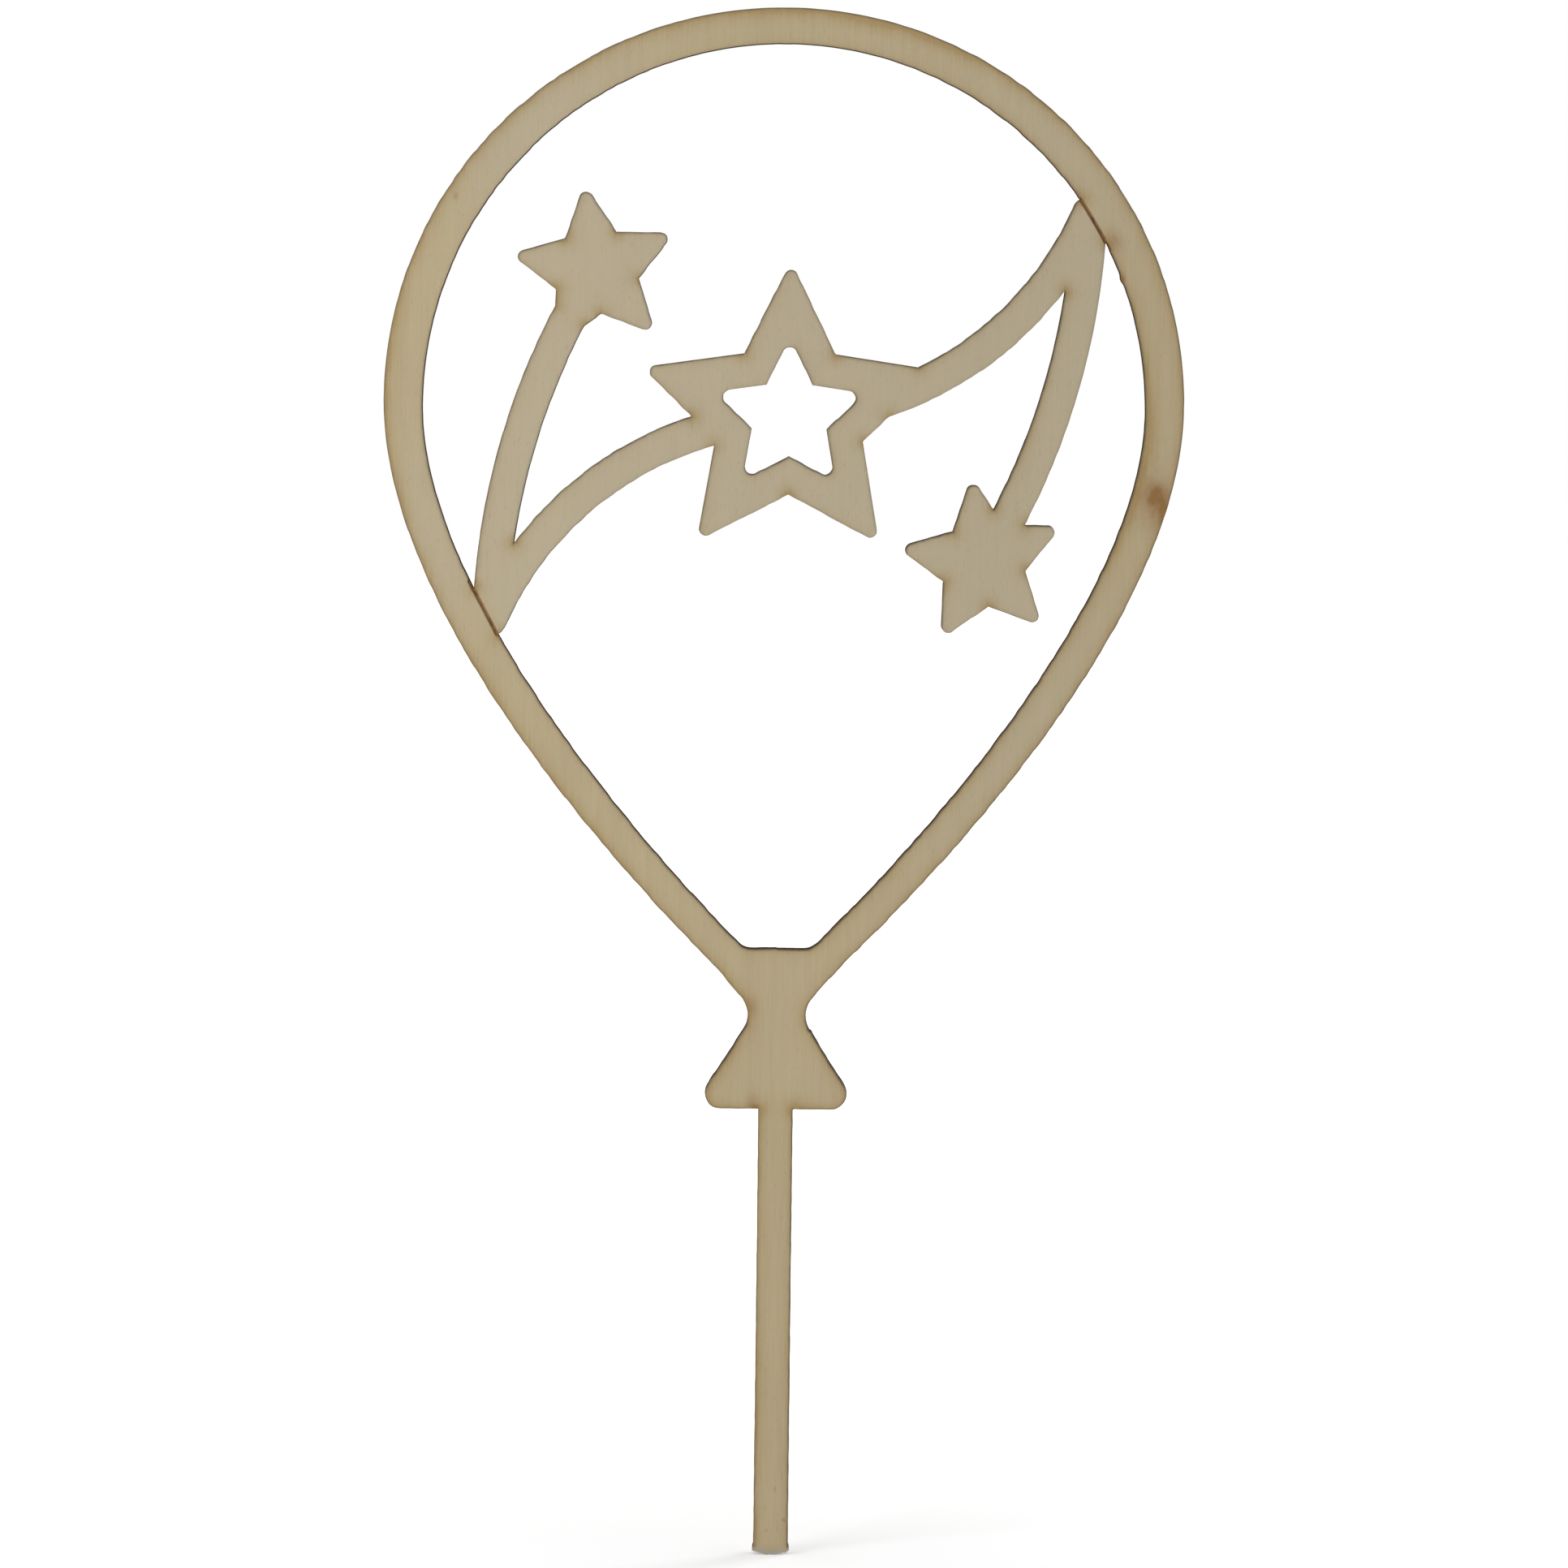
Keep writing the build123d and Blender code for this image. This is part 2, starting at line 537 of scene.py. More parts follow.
@dataclass(frozen=True)
class CutFinish(Finish):
    """Cut edge of a layer, charred by the beam and lined across the sheet.

    Attributes:
        grain: way that the layer's grain runs.
        brown: colour of the least charred wood.
        charred: colour of most of the edge.
        soot: colour of the blackest lines.
        stops: how strongly wood of each of those colours is charred.
        lines: fine lines across the sheet.
        clouds: wide clouds of char.
        char_weights: weights of lines, clouds and end grain, and a fixed part.
        torn: colour of the torn end of the stick.
        torn_gap_shade: painted shade in the gaps between its fibres, darkest where the bump sinks.
    """

    roughness: float = 0.92
    sheen: float = 0.03
    relief: float = 0.02
    grain: Grain = Grain.UPRIGHT
    brown: Colour = (114, 79, 48)
    charred: Colour = (70, 48, 31)
    soot: Colour = (36, 26, 19)
    stops: Triple = (0.2, 0.5, 0.8)
    lines: Pattern = Pattern((2.4, 0.3, 2.4), 4.0, roughness=0.65)
    clouds: Pattern = Pattern((0.2, 0.4, 0.2))
    char_weights: tuple[float, ...] = (0.75, 0.45, 0.22, -0.2)
    torn: Colour = (182, 174, 160)
    torn_gap_shade: Colour = (134, 126, 112)

    def material(self) -> bpy.types.Material:
        """Make the material of one layer's cut edge.

        Returns:
            The material.
        """
        shader = Shader(self)
        lines, clouds = shader.noise(self.lines), shader.noise(self.clouds)
        facing = shader.add("ShaderNodeSeparateXYZ", {0: shader.coordinates["Normal"]}).outputs
        end_grain = shader.math("ABSOLUTE", facing[self.grain.value])
        char = shader.weigh([lines, clouds, end_grain, 1.0], self.char_weights)
        colour = shader.ramp(char, dict(zip(self.stops, (self.brown, self.charred, self.soot))))
        # Painted shade: the torn end is darkened in the hollows of its bump, between the fibres.
        fibre = shader.mix(lines, linear(self.torn_gap_shade), linear(self.torn))
        return shader.complete(shader.mix(shader.attribute("torn"), colour, fibre), lines)


@dataclass(frozen=True)
class TwoToneFinish(Finish):
    """Surface of two colours that run into each other.

    Attributes:
        first: one colour.
        second: the other colour.
        pattern: how they lie.
    """

    first: Colour
    second: Colour
    pattern: Pattern

    def material(self) -> bpy.types.Material:
        """Make the material.

        Returns:
            The material.
        """
        shader = Shader(self)
        cloud = shader.noise(self.pattern)
        share = shader.span(cloud, self.pattern.ends, self.pattern.shares)
        return shader.complete(shader.mix(share, linear(self.first), linear(self.second)), cloud)


UPRIGHT_CUT = CutFinish("charred_upright_grain")
CROSS_CUT = CutFinish(
    "charred_cross_grain", grain=Grain.CROSS, brown=(98, 66, 40), charred=(54, 36, 23), soot=(29, 21, 15)
)
BURNT_GLUE = TwoToneFinish(
    name="burnt_glue",
    roughness=0.7,
    sheen=0.08,
    relief=0.01,
    first=(30, 21, 15),
    second=(62, 42, 26),
    pattern=Pattern((1.1, 0.3, 1.1), 3.0, (0.3, 0.7)),
)
TORN_FIBRE = TwoToneFinish(
    name="torn_fibre",
    roughness=0.9,
    sheen=0.1,
    relief=0.01,
    first=(178, 171, 158),
    second=(208, 202, 190),
    pattern=Pattern((4.0, 4.0, 1.0), 2.0, (0.3, 0.7)),
)


@dataclass
class CutLoop:
    """One closed cut path round the wood.

    Attributes:
        points: places along the path, with the wood on the left.
        corners: places of the sharp corners that point into the wood.
        outer: whether the path runs round the whole sheet.
        torn_points: how many of the first points lie along a torn end.
        outward: unit directions from the wood into the open.
    """

    points: np.ndarray
    corners: np.ndarray
    outer: bool = False
    torn_points: int = 0
    outward: np.ndarray = field(init=False)

    def __post_init__(self) -> None:
        """Work out the directions for the first points."""
        self.refresh()

    def refresh(self) -> None:
        """Work out the outward directions again after the points have moved."""
        along = np.roll(self.points, -1, axis=0) - np.roll(self.points, 1, axis=0)
        self.outward = unit(np.stack([along[:, 1], -along[:, 0]], axis=1))

    def push(self, heights: np.ndarray) -> None:
        """Move every point outwards by its own height."""
        self.points = self.points + self.outward * heights[:, None]
        self.refresh()


@dataclass
class OutlineReader:
    """Reads the sheet's outline from a packed layer and draws it as smooth curves.

    Attributes:
        node: layer whose front edge is read.
        spacing: distance between the fine points.
        corner_turn: least turn, in degrees, that stays a sharp corner.
        straight_share: how many times longer than its neighbour a straight run is.
        flatness: how far a corner of the front face may lie from its plane.
    """

    node: str = "core_veneer"
    spacing: float = 0.2
    corner_turn: float = 16.0
    straight_share: float = 3.0
    flatness: float = 0.001

    def front_edges(self) -> list[np.ndarray]:
        """Read the closed edges of the layer's front face.

        Returns:
            The places round each edge, with the wood on the left.
        """
        places, triangles = packed_triangles(self.node)
        level = np.abs(places[:, 1] - places[:, 1].min()) < self.flatness
        flat = triangles[level[triangles].all(axis=1)]
        pairs = set(map(tuple, flat[:, [0, 1, 1, 2, 2, 0]].reshape(-1, 2).tolist()))
        follows = {start: end for start, end in pairs if (end, start) not in pairs}
        edges = []
        while follows:
            path = [min(follows)]
            while follows[path[-1]] != path[0]:
                path.append(follows.pop(path[-1]))
            follows.pop(path[-1])
            edges.append(places[path][:, [0, 2]])
        return edges

    def loop(self, spots: np.ndarray) -> CutLoop:
        """Draw smooth curves through the places round one edge, keeping its corners.

        Args:
            spots: places round the edge.

        Returns:
            The fine path.
        """
        chord = np.roll(spots, -1, axis=0) - spots
        ahead = np.linalg.norm(chord, axis=1)
        behind = np.roll(ahead, 1)
        heading = unit(chord)
        coming = np.roll(heading, 1, axis=0)
        cross = coming[:, 0] * heading[:, 1] - coming[:, 1] * heading[:, 0]
        turn = np.degrees(np.arctan2(cross, dots(coming, heading)))
        sharp = np.abs(turn) > self.corner_turn
        tangent = unit(coming * ahead[:, None] + heading * behind[:, None])
        after_straight = behind > self.straight_share * ahead
        before_straight = ahead > self.straight_share * behind
        tangent[after_straight] = coming[after_straight]
        tangent[before_straight] = heading[before_straight]
        leave, arrive = self.chord_ends(heading, tangent, sharp)
        fine = [self.curve(*each) for each in zip(spots, chord, ahead, leave, arrive)]
        return CutLoop(np.concatenate(fine), spots[sharp & (turn < 0)])

    def chord_ends(
        self, heading: np.ndarray, tangent: np.ndarray, sharp: np.ndarray
    ) -> tuple[np.ndarray, np.ndarray]:
        """Work out the directions in which each chord's curve leaves and arrives.

        Args:
            heading: direction of each chord.
            tangent: direction of the path at each place.
            sharp: whether each place is a sharp corner.

        Returns:
            The leaving and the arriving direction of each chord.
        """
        leave, arrive = tangent.copy(), np.roll(tangent, -1, axis=0)
        from_corner, to_corner = sharp, np.roll(sharp, -1)
        mirror_leave = 2 * dots(leave, heading)[:, None] * heading - leave
        mirror_arrive = 2 * dots(arrive, heading)[:, None] * heading - arrive
        leave[from_corner] = mirror_arrive[from_corner]
        arrive[to_corner] = mirror_leave[to_corner]
        both = from_corner & to_corner
        leave[both] = heading[both]
        arrive[both] = heading[both]
        return leave, arrive

    def curve(
        self, start: np.ndarray, chord: np.ndarray, length: float, leave: np.ndarray, arrive: np.ndarray
    ) -> np.ndarray:
        """Return fine points along one chord's curve, without its last point.

        Args:
            start: first point of the chord.
            chord: way from the first point to the last.
            length: length of the chord.
            leave: direction at the first point.
            arrive: direction at the last point.

        Returns:
            The points.
        """
        count = max(1, round(length / self.spacing))
        share = (np.arange(count) / count)[:, None]
        swing_out = share * (1 - share) ** 2
        swing_in = share**2 * (share - 1)
        return start + smooth(share) * chord + length * (swing_out * leave + swing_in * arrive)

    def read(self) -> list[CutLoop]:
        """Read every cut path of the sheet.

        Returns:
            The paths, the one round the whole sheet first.
        """
        loops = [self.loop(spots) for spots in self.front_edges()]
        loops.sort(key=lambda loop: np.ptp(loop.points[:, 1]), reverse=True)
        loops[0].outer = True
        return loops


@dataclass(frozen=True)
class Nick:
    """Small flaw that the beam left in a cut edge.

    Attributes:
        place: where it is.
        reach: how far it runs along the edge.
        height: how far it stands out.
        shape: whether it is a burr or a step that fades one way.
        fades: direction in which a step fades.
        slimness: how many times longer than to its sides a step reaches.
    """

    place: Place
    reach: float
    height: float
    shape: NickShape
    fades: Place = (0.0, 0.0)
    slimness: float = 3.0

    def heights(self, points: np.ndarray) -> np.ndarray:
        """Work out how far each point of a path is pushed outwards.

        Args:
            points: places along the path.

        Returns:
            One height for each point.
        """
        way = points - self.place
        if self.shape is NickShape.BURR:
            return self.height * fade(np.linalg.norm(way, axis=1), self.reach)
        run = way @ self.fades
        aside = np.linalg.norm(way - run[:, None] * self.fades, axis=1)
        near = (run > 0) & (run < self.reach) & (aside < self.reach / self.slimness)
        return np.where(near, self.height * (1 - run / self.reach), 0.0)


@dataclass
class TornEnd:
    """End of the stick, snapped out of the sheet and left rough.

    Attributes:
        corner_lift: how far the end's corners stand above its lowest point.
        crown_power: how late the end's curve rises towards its corners.
        teeth: depth of the teeth between torn fibres, by the distance between them.
        spacing: distance between the points of the torn edge.
        flare: how far a burr stands out at each corner.
        flare_height: height of the burrs above the lowest point.
        flare_reach: how far the burrs run up the stick.
        blend: height in which the sides make room for the torn end.
        seed: fixed start of the random teeth.
    """

    corner_lift: float = 0.48
    crown_power: float = 2.5
    teeth: dict[float, float] = field(default_factory=lambda: {0.5: 0.1, 0.21: 0.13, 0.1: 0.09})
    spacing: float = 0.03
    flare: float = 0.12
    flare_height: float = 0.82
    flare_reach: float = 0.3
    blend: float = 3.28
    seed: int = 7

    def shape(self, loop: CutLoop) -> None:
        """Roughen the lowest stretch of the outer path.

        Args:
            loop: path round the whole sheet, changed in place.
        """
        lowest = loop.points[:, 1].min()
        end = loop.points[:, 1] < lowest + self.spacing
        half_width = np.abs(loop.points[end, 0]).max()
        start = np.flatnonzero(end & ~np.roll(end, 1))[0]
        rest = np.roll(loop.points, -start, axis=0)[int(end.sum()) :]
        lift = self.corner_lift + sum(self.teeth.values())
        side = rest[:, 1] < lowest + self.blend
        rest[side, 1] = lowest + lift + (rest[side, 1] - lowest) * (1 - lift / self.blend)
        above = np.maximum(rest[side, 1] - lowest - self.flare_height, 0)
        bulge = self.flare * fade(above, self.flare_reach)
        rest[side, 0] += np.sign(rest[side, 0]) * bulge
        torn = self.ragged(half_width + self.flare, lowest)
        loop.points = np.concatenate([torn, rest])
        loop.torn_points = len(torn)
        loop.refresh()

    def ragged(self, half_width: float, lowest: float) -> np.ndarray:
        """Draw the torn edge from left to right.

        Args:
            half_width: half the width of the end.
            lowest: height of the stick's lowest point.

        Returns:
            Its points.
        """
        chance = np.random.default_rng(self.seed)
        x = np.linspace(-half_width, half_width, int(2 * half_width / self.spacing))
        rise = self.corner_lift * np.abs(x / half_width) ** self.crown_power
        for pitch, depth in self.teeth.items():
            knots = np.arange(-half_width, half_width + 2 * pitch, pitch)
            rise = rise + depth * np.interp(x, knots, chance.random(len(knots)))
        return np.stack([x, lowest + rise - rise.min()], axis=1)


@dataclass
class EdgeWander:
    """Slight unevenness of every cut edge, which runs into the wood and is strongest on slanted cuts.

    Attributes:
        depth: deepest cut into the wood.
        slanted: how far an edge that runs at half a right angle wavers to each side.
        waves: how many waves are added up.
        level_off: height of their sum at which it levels off.
        shortest: length of the shortest wave.
        longest: length of the longest wave.
        seed: fixed start of the random waves.
    """

    depth: float = 0.03
    slanted: float = 0.06
    waves: int = 9
    level_off: float = 2.0
    shortest: float = 1.6
    longest: float = 6.0
    seed: int = 3

    def heights(self, loop: CutLoop) -> np.ndarray:
        """Work out how far each point of a path lies out from its true place.

        Args:
            loop: path along the edge.

        Returns:
            One height for each point, which is zero along a torn end.
        """
        chance = np.random.default_rng(self.seed)
        total = np.zeros(len(loop.points))
        for length in np.geomspace(self.shortest, self.longest, self.waves):
            turn = chance.uniform(0, math.tau)
            way = np.array([math.cos(turn), math.sin(turn)]) * math.tau / length
            total += np.sin(loop.points @ way + chance.uniform(0, math.tau))
        wave = np.tanh(total / self.level_off)
        slant = np.abs(2 * loop.outward[:, 0] * loop.outward[:, 1])
        heights = self.slanted * slant * wave - self.depth * (1 + wave) / 2
        return np.where(np.arange(len(heights)) < loop.torn_points, 0.0, heights)


@dataclass
class EdgeMap:
    """Answers how far a place lies from the sheet's edge, and which edge point is nearest.

    Attributes:
        loops: cut paths of the sheet.
    """

    loops: list[CutLoop]

    def __post_init__(self) -> None:
        """Gather the points of all paths and sort them for searching."""
        self.points = np.concatenate([loop.points for loop in self.loops])
        self.outward = np.concatenate([loop.outward for loop in self.loops])
        ends = np.cumsum([len(loop.points) for loop in self.loops])
        paths = np.split(np.arange(ends[-1]), ends[:-1])
        self.following = np.concatenate([np.roll(path, -1) for path in paths])
        self.ahead = self.points[self.following]
        self.behind = self.points[np.argsort(self.following)]
        self.tree = KDTree(len(self.points))
        for index, (x, z) in enumerate(self.points):
            self.tree.insert((x, z, 0.0), index)
        self.tree.balance()

    def nearest(self, spots: np.ndarray) -> np.ndarray:
        """Return the number of the edge point nearest to each spot."""
        return np.array([self.tree.find((x, z, 0.0))[1] for x, z in spots], dtype=int)

    def depths(self, spots: np.ndarray) -> np.ndarray:
        """Measure how far each spot lies from the edge.

        Args:
            spots: places to measure.

        Returns:
            One distance for each spot.
        """
        nearest = self.nearest(spots)
        start = self.points[nearest]
        found = []
        for end in (self.ahead[nearest], self.behind[nearest]):
            side = end - start
            share = np.clip(dots(spots - start, side) / np.maximum(dots(side, side), TINY), 0, 1)
            found.append(np.linalg.norm(spots - start - share[:, None] * side, axis=1))
        return np.minimum(*found)

    def wooden(self, spots: np.ndarray) -> np.ndarray:
        """Tell which spots lie in the wood, by counting the edges to their right.

        Args:
            spots: places to test.

        Returns:
            True for each spot in the wood.
        """
        within = np.zeros(len(spots), dtype=bool)
        for (x0, z0), (x1, z1) in zip(self.points, self.ahead):
            if z0 == z1:
                continue
            crossed = (z0 > spots[:, 1]) != (z1 > spots[:, 1])
            within ^= crossed & (spots[:, 0] < x0 + (spots[:, 1] - z0) * (x1 - x0) / (z1 - z0))
        return within


@dataclass
class FaceGrid:
    """Flat triangle mesh over the sheet, the edge points first and then the points within.

    Attributes:
        edges: answers about the sheet's edge.
        rows: depths of the rows of points that follow the edge.
        skip: how many edge points there are for each point of the first row.
        row_share: least share of its depth that a row keeps in narrow places.
        pitch: distance between the points further in.
        merge: distance in which two points count as one.
        filled: whether there are points within at all.
        extra: more points to add.
    """

    edges: EdgeMap
    rows: tuple[float, ...] = (0.28, 0.62)
    skip: int = 2
    row_share: float = 0.9
    pitch: float = 0.7
    merge: float = 1e-7
    filled: bool = True
    extra: np.ndarray = field(default_factory=lambda: np.empty((0, 2)))

    def __post_init__(self) -> None:
        """Choose the points and join them into triangles."""
        inner = self.inner_points() if self.filled else np.empty((0, 2))
        self.points = np.concatenate([self.edges.points, inner])
        self.rim = len(self.edges.points)
        self.triangles = self.join()
        self.nearest = self.edges.nearest(inner)
        self.depths = self.edges.depths(inner)

    def inner_points(self) -> np.ndarray:
        """Choose the points within.

        Returns:
            The extra points, rows of points that follow the edge and a lattice further in.
        """
        found = [self.extra]
        for number, depth in enumerate(self.rows):
            row = (self.edges.points - depth * self.edges.outward)[:: number + self.skip]
            found.append(self.keep(row, self.row_share * depth))
        low, high = self.edges.points.min(axis=0), self.edges.points.max(axis=0)
        columns = np.arange(low[0], high[0], self.pitch)
        lines = np.arange(low[1], high[1], self.pitch * math.sqrt(3) / 2)
        x, z = np.meshgrid(columns, lines)
        x = x + self.pitch / 2 * (np.arange(len(lines)) % 2)[:, None]
        lattice = np.stack([x.ravel(), z.ravel()], axis=1)
        found.append(self.keep(lattice, self.rows[-1] + self.pitch / 2))
        return np.concatenate(found)

    def keep(self, spots: np.ndarray, least: float) -> np.ndarray:
        """Choose the spots in the wood that are deep enough and clear of the extra points.

        Args:
            spots: places to choose from.
            least: least distance from the edge.

        Returns:
            The chosen places.
        """
        deep = spots[self.edges.depths(spots) >= least]
        deep = deep[self.edges.wooden(deep)]
        if not len(self.extra):
            return deep
        gaps = np.linalg.norm(deep[:, None, :] - self.extra[None, :, :], axis=2).min(axis=1)
        return deep[gaps > self.rows[0] / 2]

    def join(self) -> np.ndarray:
        """Join the points.

        Returns:
            Triangles over the wood, each running anticlockwise seen from the front.
        """
        sides = list(enumerate(self.edges.following.tolist()))
        spots = [Vector(point) for point in self.points.tolist()]
        made = delaunay_2d_cdt(spots, sides, [], 0, self.merge)
        origin = np.array([source[0] for source in made[3]])
        triangles = origin[np.array(made[2])]
        centres = self.points[triangles].mean(axis=1)
        return triangles[self.edges.wooden(centres)]


@dataclass(frozen=True)
class Plume:
    """Stretch of edge where smoke gathered.

    Attributes:
        place: middle of the stretch.
        reach: how far it runs.
        level: extra browning at its middle.
        facing: direction in which its edge faces.
        outer: whether it is on the outer edge.
    """

    place: Place
    reach: float
    level: float
    facing: Place
    outer: bool

    def levels(self, loop: CutLoop) -> np.ndarray:
        """Work out the extra browning along a path.

        Args:
            loop: path along the edge.

        Returns:
            One level for each point.
        """
        gathered = fade(np.linalg.norm(loop.points - self.place, axis=1), self.reach)
        level = self.level if loop.outer is self.outer else 0.0
        return level * gathered * np.maximum(loop.outward @ self.facing, 0)


@dataclass(frozen=True)
class Scorching:
    """How strongly each stretch of edge is browned. Smoke drifted to one side while the sheet was cut.

    Attributes:
        outer_level: browning of the outer edge.
        outer_drift: how it grows with the way that the outer edge faces.
        inner_level: browning of the inner edges.
        inner_drift: how it grows with the way that an inner edge faces.
        plumes: stretches where smoke gathered.
        band: how far from the outer edge the ring reaches.
        filling_share: share of it that the stars and streamers show.
        stick_share: share of it that the stick shows.
        corner_level: extra browning in the sharp inside corners.
        corner_reach: how far that spreads.
        least: browning that every edge has.
        outer_char: depth of the burnt line along the outer edge.
        outer_char_drift: how it grows with the way that the outer edge faces.
        stick_char: depth of the burnt line along the stick.
        stick_char_drift: how it grows with the way that the stick's edge faces.
        inner_char: depth of the burnt line along the inner edges.
        inner_char_drift: how it grows with the way that an inner edge faces.
        char_plumes: stretches where the burnt line is deeper.
    """

    outer_level: float = 0.76
    outer_drift: Place = (-0.14, 0.14)
    inner_level: float = 0.32
    inner_drift: Place = (-0.27, 0.1)
    plumes: tuple[Plume, ...] = (
        Plume((12.0, 136.0), 17.0, 1.2, (0.2, 0.98), True),
        Plume((-50.0, 88.0), 10.0, 0.35, (-1.0, 0.0), True),
        Plume((45.0, 82.0), 10.5, 2.0, (-1.0, 0.0), False),
    )
    band: float = 5.4
    filling_share: float = 0.5
    stick_share: float = 0.72
    corner_level: float = 0.9
    corner_reach: float = 1.0
    least: float = 0.03
    outer_char: float = 0.62
    outer_char_drift: Place = (0.0, 0.16)
    stick_char: float = 0.62
    stick_char_drift: Place = (0.12, 0.0)
    inner_char: float = 0.5
    inner_char_drift: Place = (-0.2, 0.3)
    char_plumes: tuple[Plume, ...] = (Plume((0.0, 8.0), 10.0, 0.6, (0.0, 1.0), True),)

    def levels(self, loops: list[CutLoop], waist: float) -> np.ndarray:
        """Work out the browning at every edge point.

        Args:
            loops: cut paths of the sheet.
            waist: height above which the ring lies.

        Returns:
            One level for each point of all the paths.
        """
        outer = EdgeMap([loop for loop in loops if loop.outer])
        found = []
        for loop in loops:
            if loop.outer:
                level = self.outer_level + loop.outward @ self.outer_drift
                level = np.where(loop.points[:, 1] < 0, level * self.stick_share, level)
            else:
                level = self.inner_level + loop.outward @ self.inner_drift
                filling = (outer.depths(loop.points) > self.band) & (loop.points[:, 1] > waist)
                level = np.where(filling, level * self.filling_share, level)
            level = level + sum(plume.levels(loop) for plume in self.plumes)
            for corner in loop.corners:
                gap = np.linalg.norm(loop.points - corner, axis=1)
                level = level + self.corner_level * fade(gap, self.corner_reach)
            found.append(np.maximum(level, self.least))
        return np.concatenate(found)

    def chars(self, loops: list[CutLoop]) -> np.ndarray:
        """Work out how deep the burnt line is at every edge point.

        Args:
            loops: cut paths of the sheet.

        Returns:
            One share for each point of all the paths.
        """
        found = []
        for loop in loops:
            ring = self.outer_char + loop.outward @ self.outer_char_drift
            stick = self.stick_char + loop.outward @ self.stick_char_drift
            inner = self.inner_char + loop.outward @ self.inner_char_drift
            level = np.where(loop.points[:, 1] < 0, stick, ring) if loop.outer else inner
            found.append(level + sum(plume.levels(loop) for plume in self.char_plumes))
        return np.clip(np.concatenate(found), 0, 1)


@dataclass(frozen=True)
class Mark:
    """Soft brown stain or small knot in the face veneer.

    Attributes:
        place: where its middle is.
        width: half its width.
        height: half its height.
        strength: how deep its colour is, from 0 to 1.
        turn: how far it is turned anticlockwise, in degrees.
        rings: sizes of the rings of points that carry a small mark, in half widths.
        ring_points: points of each ring.
    """

    place: Place
    width: float
    height: float
    strength: float
    turn: float = 0.0
    rings: tuple[float, ...] = (0.5, 1.0, 1.6, 2.4)
    ring_points: int = 10

    def axes(self) -> np.ndarray:
        """Return the directions of the mark's width and height as rows."""
        cos, sin = math.cos(math.radians(self.turn)), math.sin(math.radians(self.turn))
        return np.array([[cos, sin], [-sin, cos]])

    def weights(self, points: np.ndarray) -> np.ndarray:
        """Return how much of the mark shows at each point."""
        way = (points - self.place) @ self.axes().T / (self.width, self.height)
        return self.strength * fade(np.linalg.norm(way, axis=1), 1.0)

    def fine_points(self) -> np.ndarray:
        """Draw rings round the mark, so that the mesh can carry a small one.

        Returns:
            The points of the rings and the middle.
        """
        turns = np.linspace(0, math.tau, self.ring_points, endpoint=False)
        circle = np.stack([np.cos(turns), np.sin(turns)], axis=1)
        flat = np.concatenate([np.zeros((1, 2)), *(share * circle for share in self.rings)])
        return self.place + flat * (self.width, self.height) @ self.axes()


@dataclass
class ScoredLine:
    """Shallow line that the beam drew across the end of a streamer.

    Attributes:
        spots: corners of the line's floor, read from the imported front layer.
        rim_share: share of the half width over which its sides slope.
        spacing: distance between the points along the line.
        rows: how far the rows of points lie from its middle, in half widths.
    """

    spots: np.ndarray
    rim_share: float = 0.55
    spacing: float = 0.18
    rows: tuple[float, ...] = (-1.15, -0.75, -0.4, 0.0, 0.4, 0.75, 1.15)

    def __post_init__(self) -> None:
        """Fit a gently bent middle line to the floor's corners."""
        self.middle = self.spots.mean(axis=0)
        spread = self.spots - self.middle
        self.way = np.linalg.svd(spread, full_matrices=False)[2][0]
        self.aside = np.array([-self.way[1], self.way[0]])
        run, off = spread @ self.way, spread @ self.aside
        self.bend = np.polyfit(run, off, 2)
        self.half_width = np.abs(off - np.polyval(self.bend, run)).max()
        self.half_length = np.abs(run).max() - self.half_width

    def depth_shares(self, points: np.ndarray) -> np.ndarray:
        """Work out how much of the line's full depth is cut at each point.

        Args:
            points: places on the face.

        Returns:
            One share for each point.
        """
        spread = points - self.middle
        run, off = spread @ self.way, spread @ self.aside
        aside = np.abs(off - np.polyval(self.bend, run))
        beyond = np.maximum(np.abs(run) - self.half_length, 0)
        offset = np.hypot(aside, beyond) / self.half_width
        return smooth(np.clip((1 - offset) / self.rim_share, 0, 1))

    def fine_points(self) -> np.ndarray:
        """Draw rows of points along the line that carry its sides and floor.

        Returns:
            The points.
        """
        count = int(2 * self.half_length / self.spacing)
        run = np.linspace(-self.half_length, self.half_length, count)
        rows = []
        for share in self.rows:
            off = np.polyval(self.bend, run) + share * self.half_width
            rows.append(self.middle + run[:, None] * self.way + off[:, None] * self.aside)
        return np.concatenate(rows)


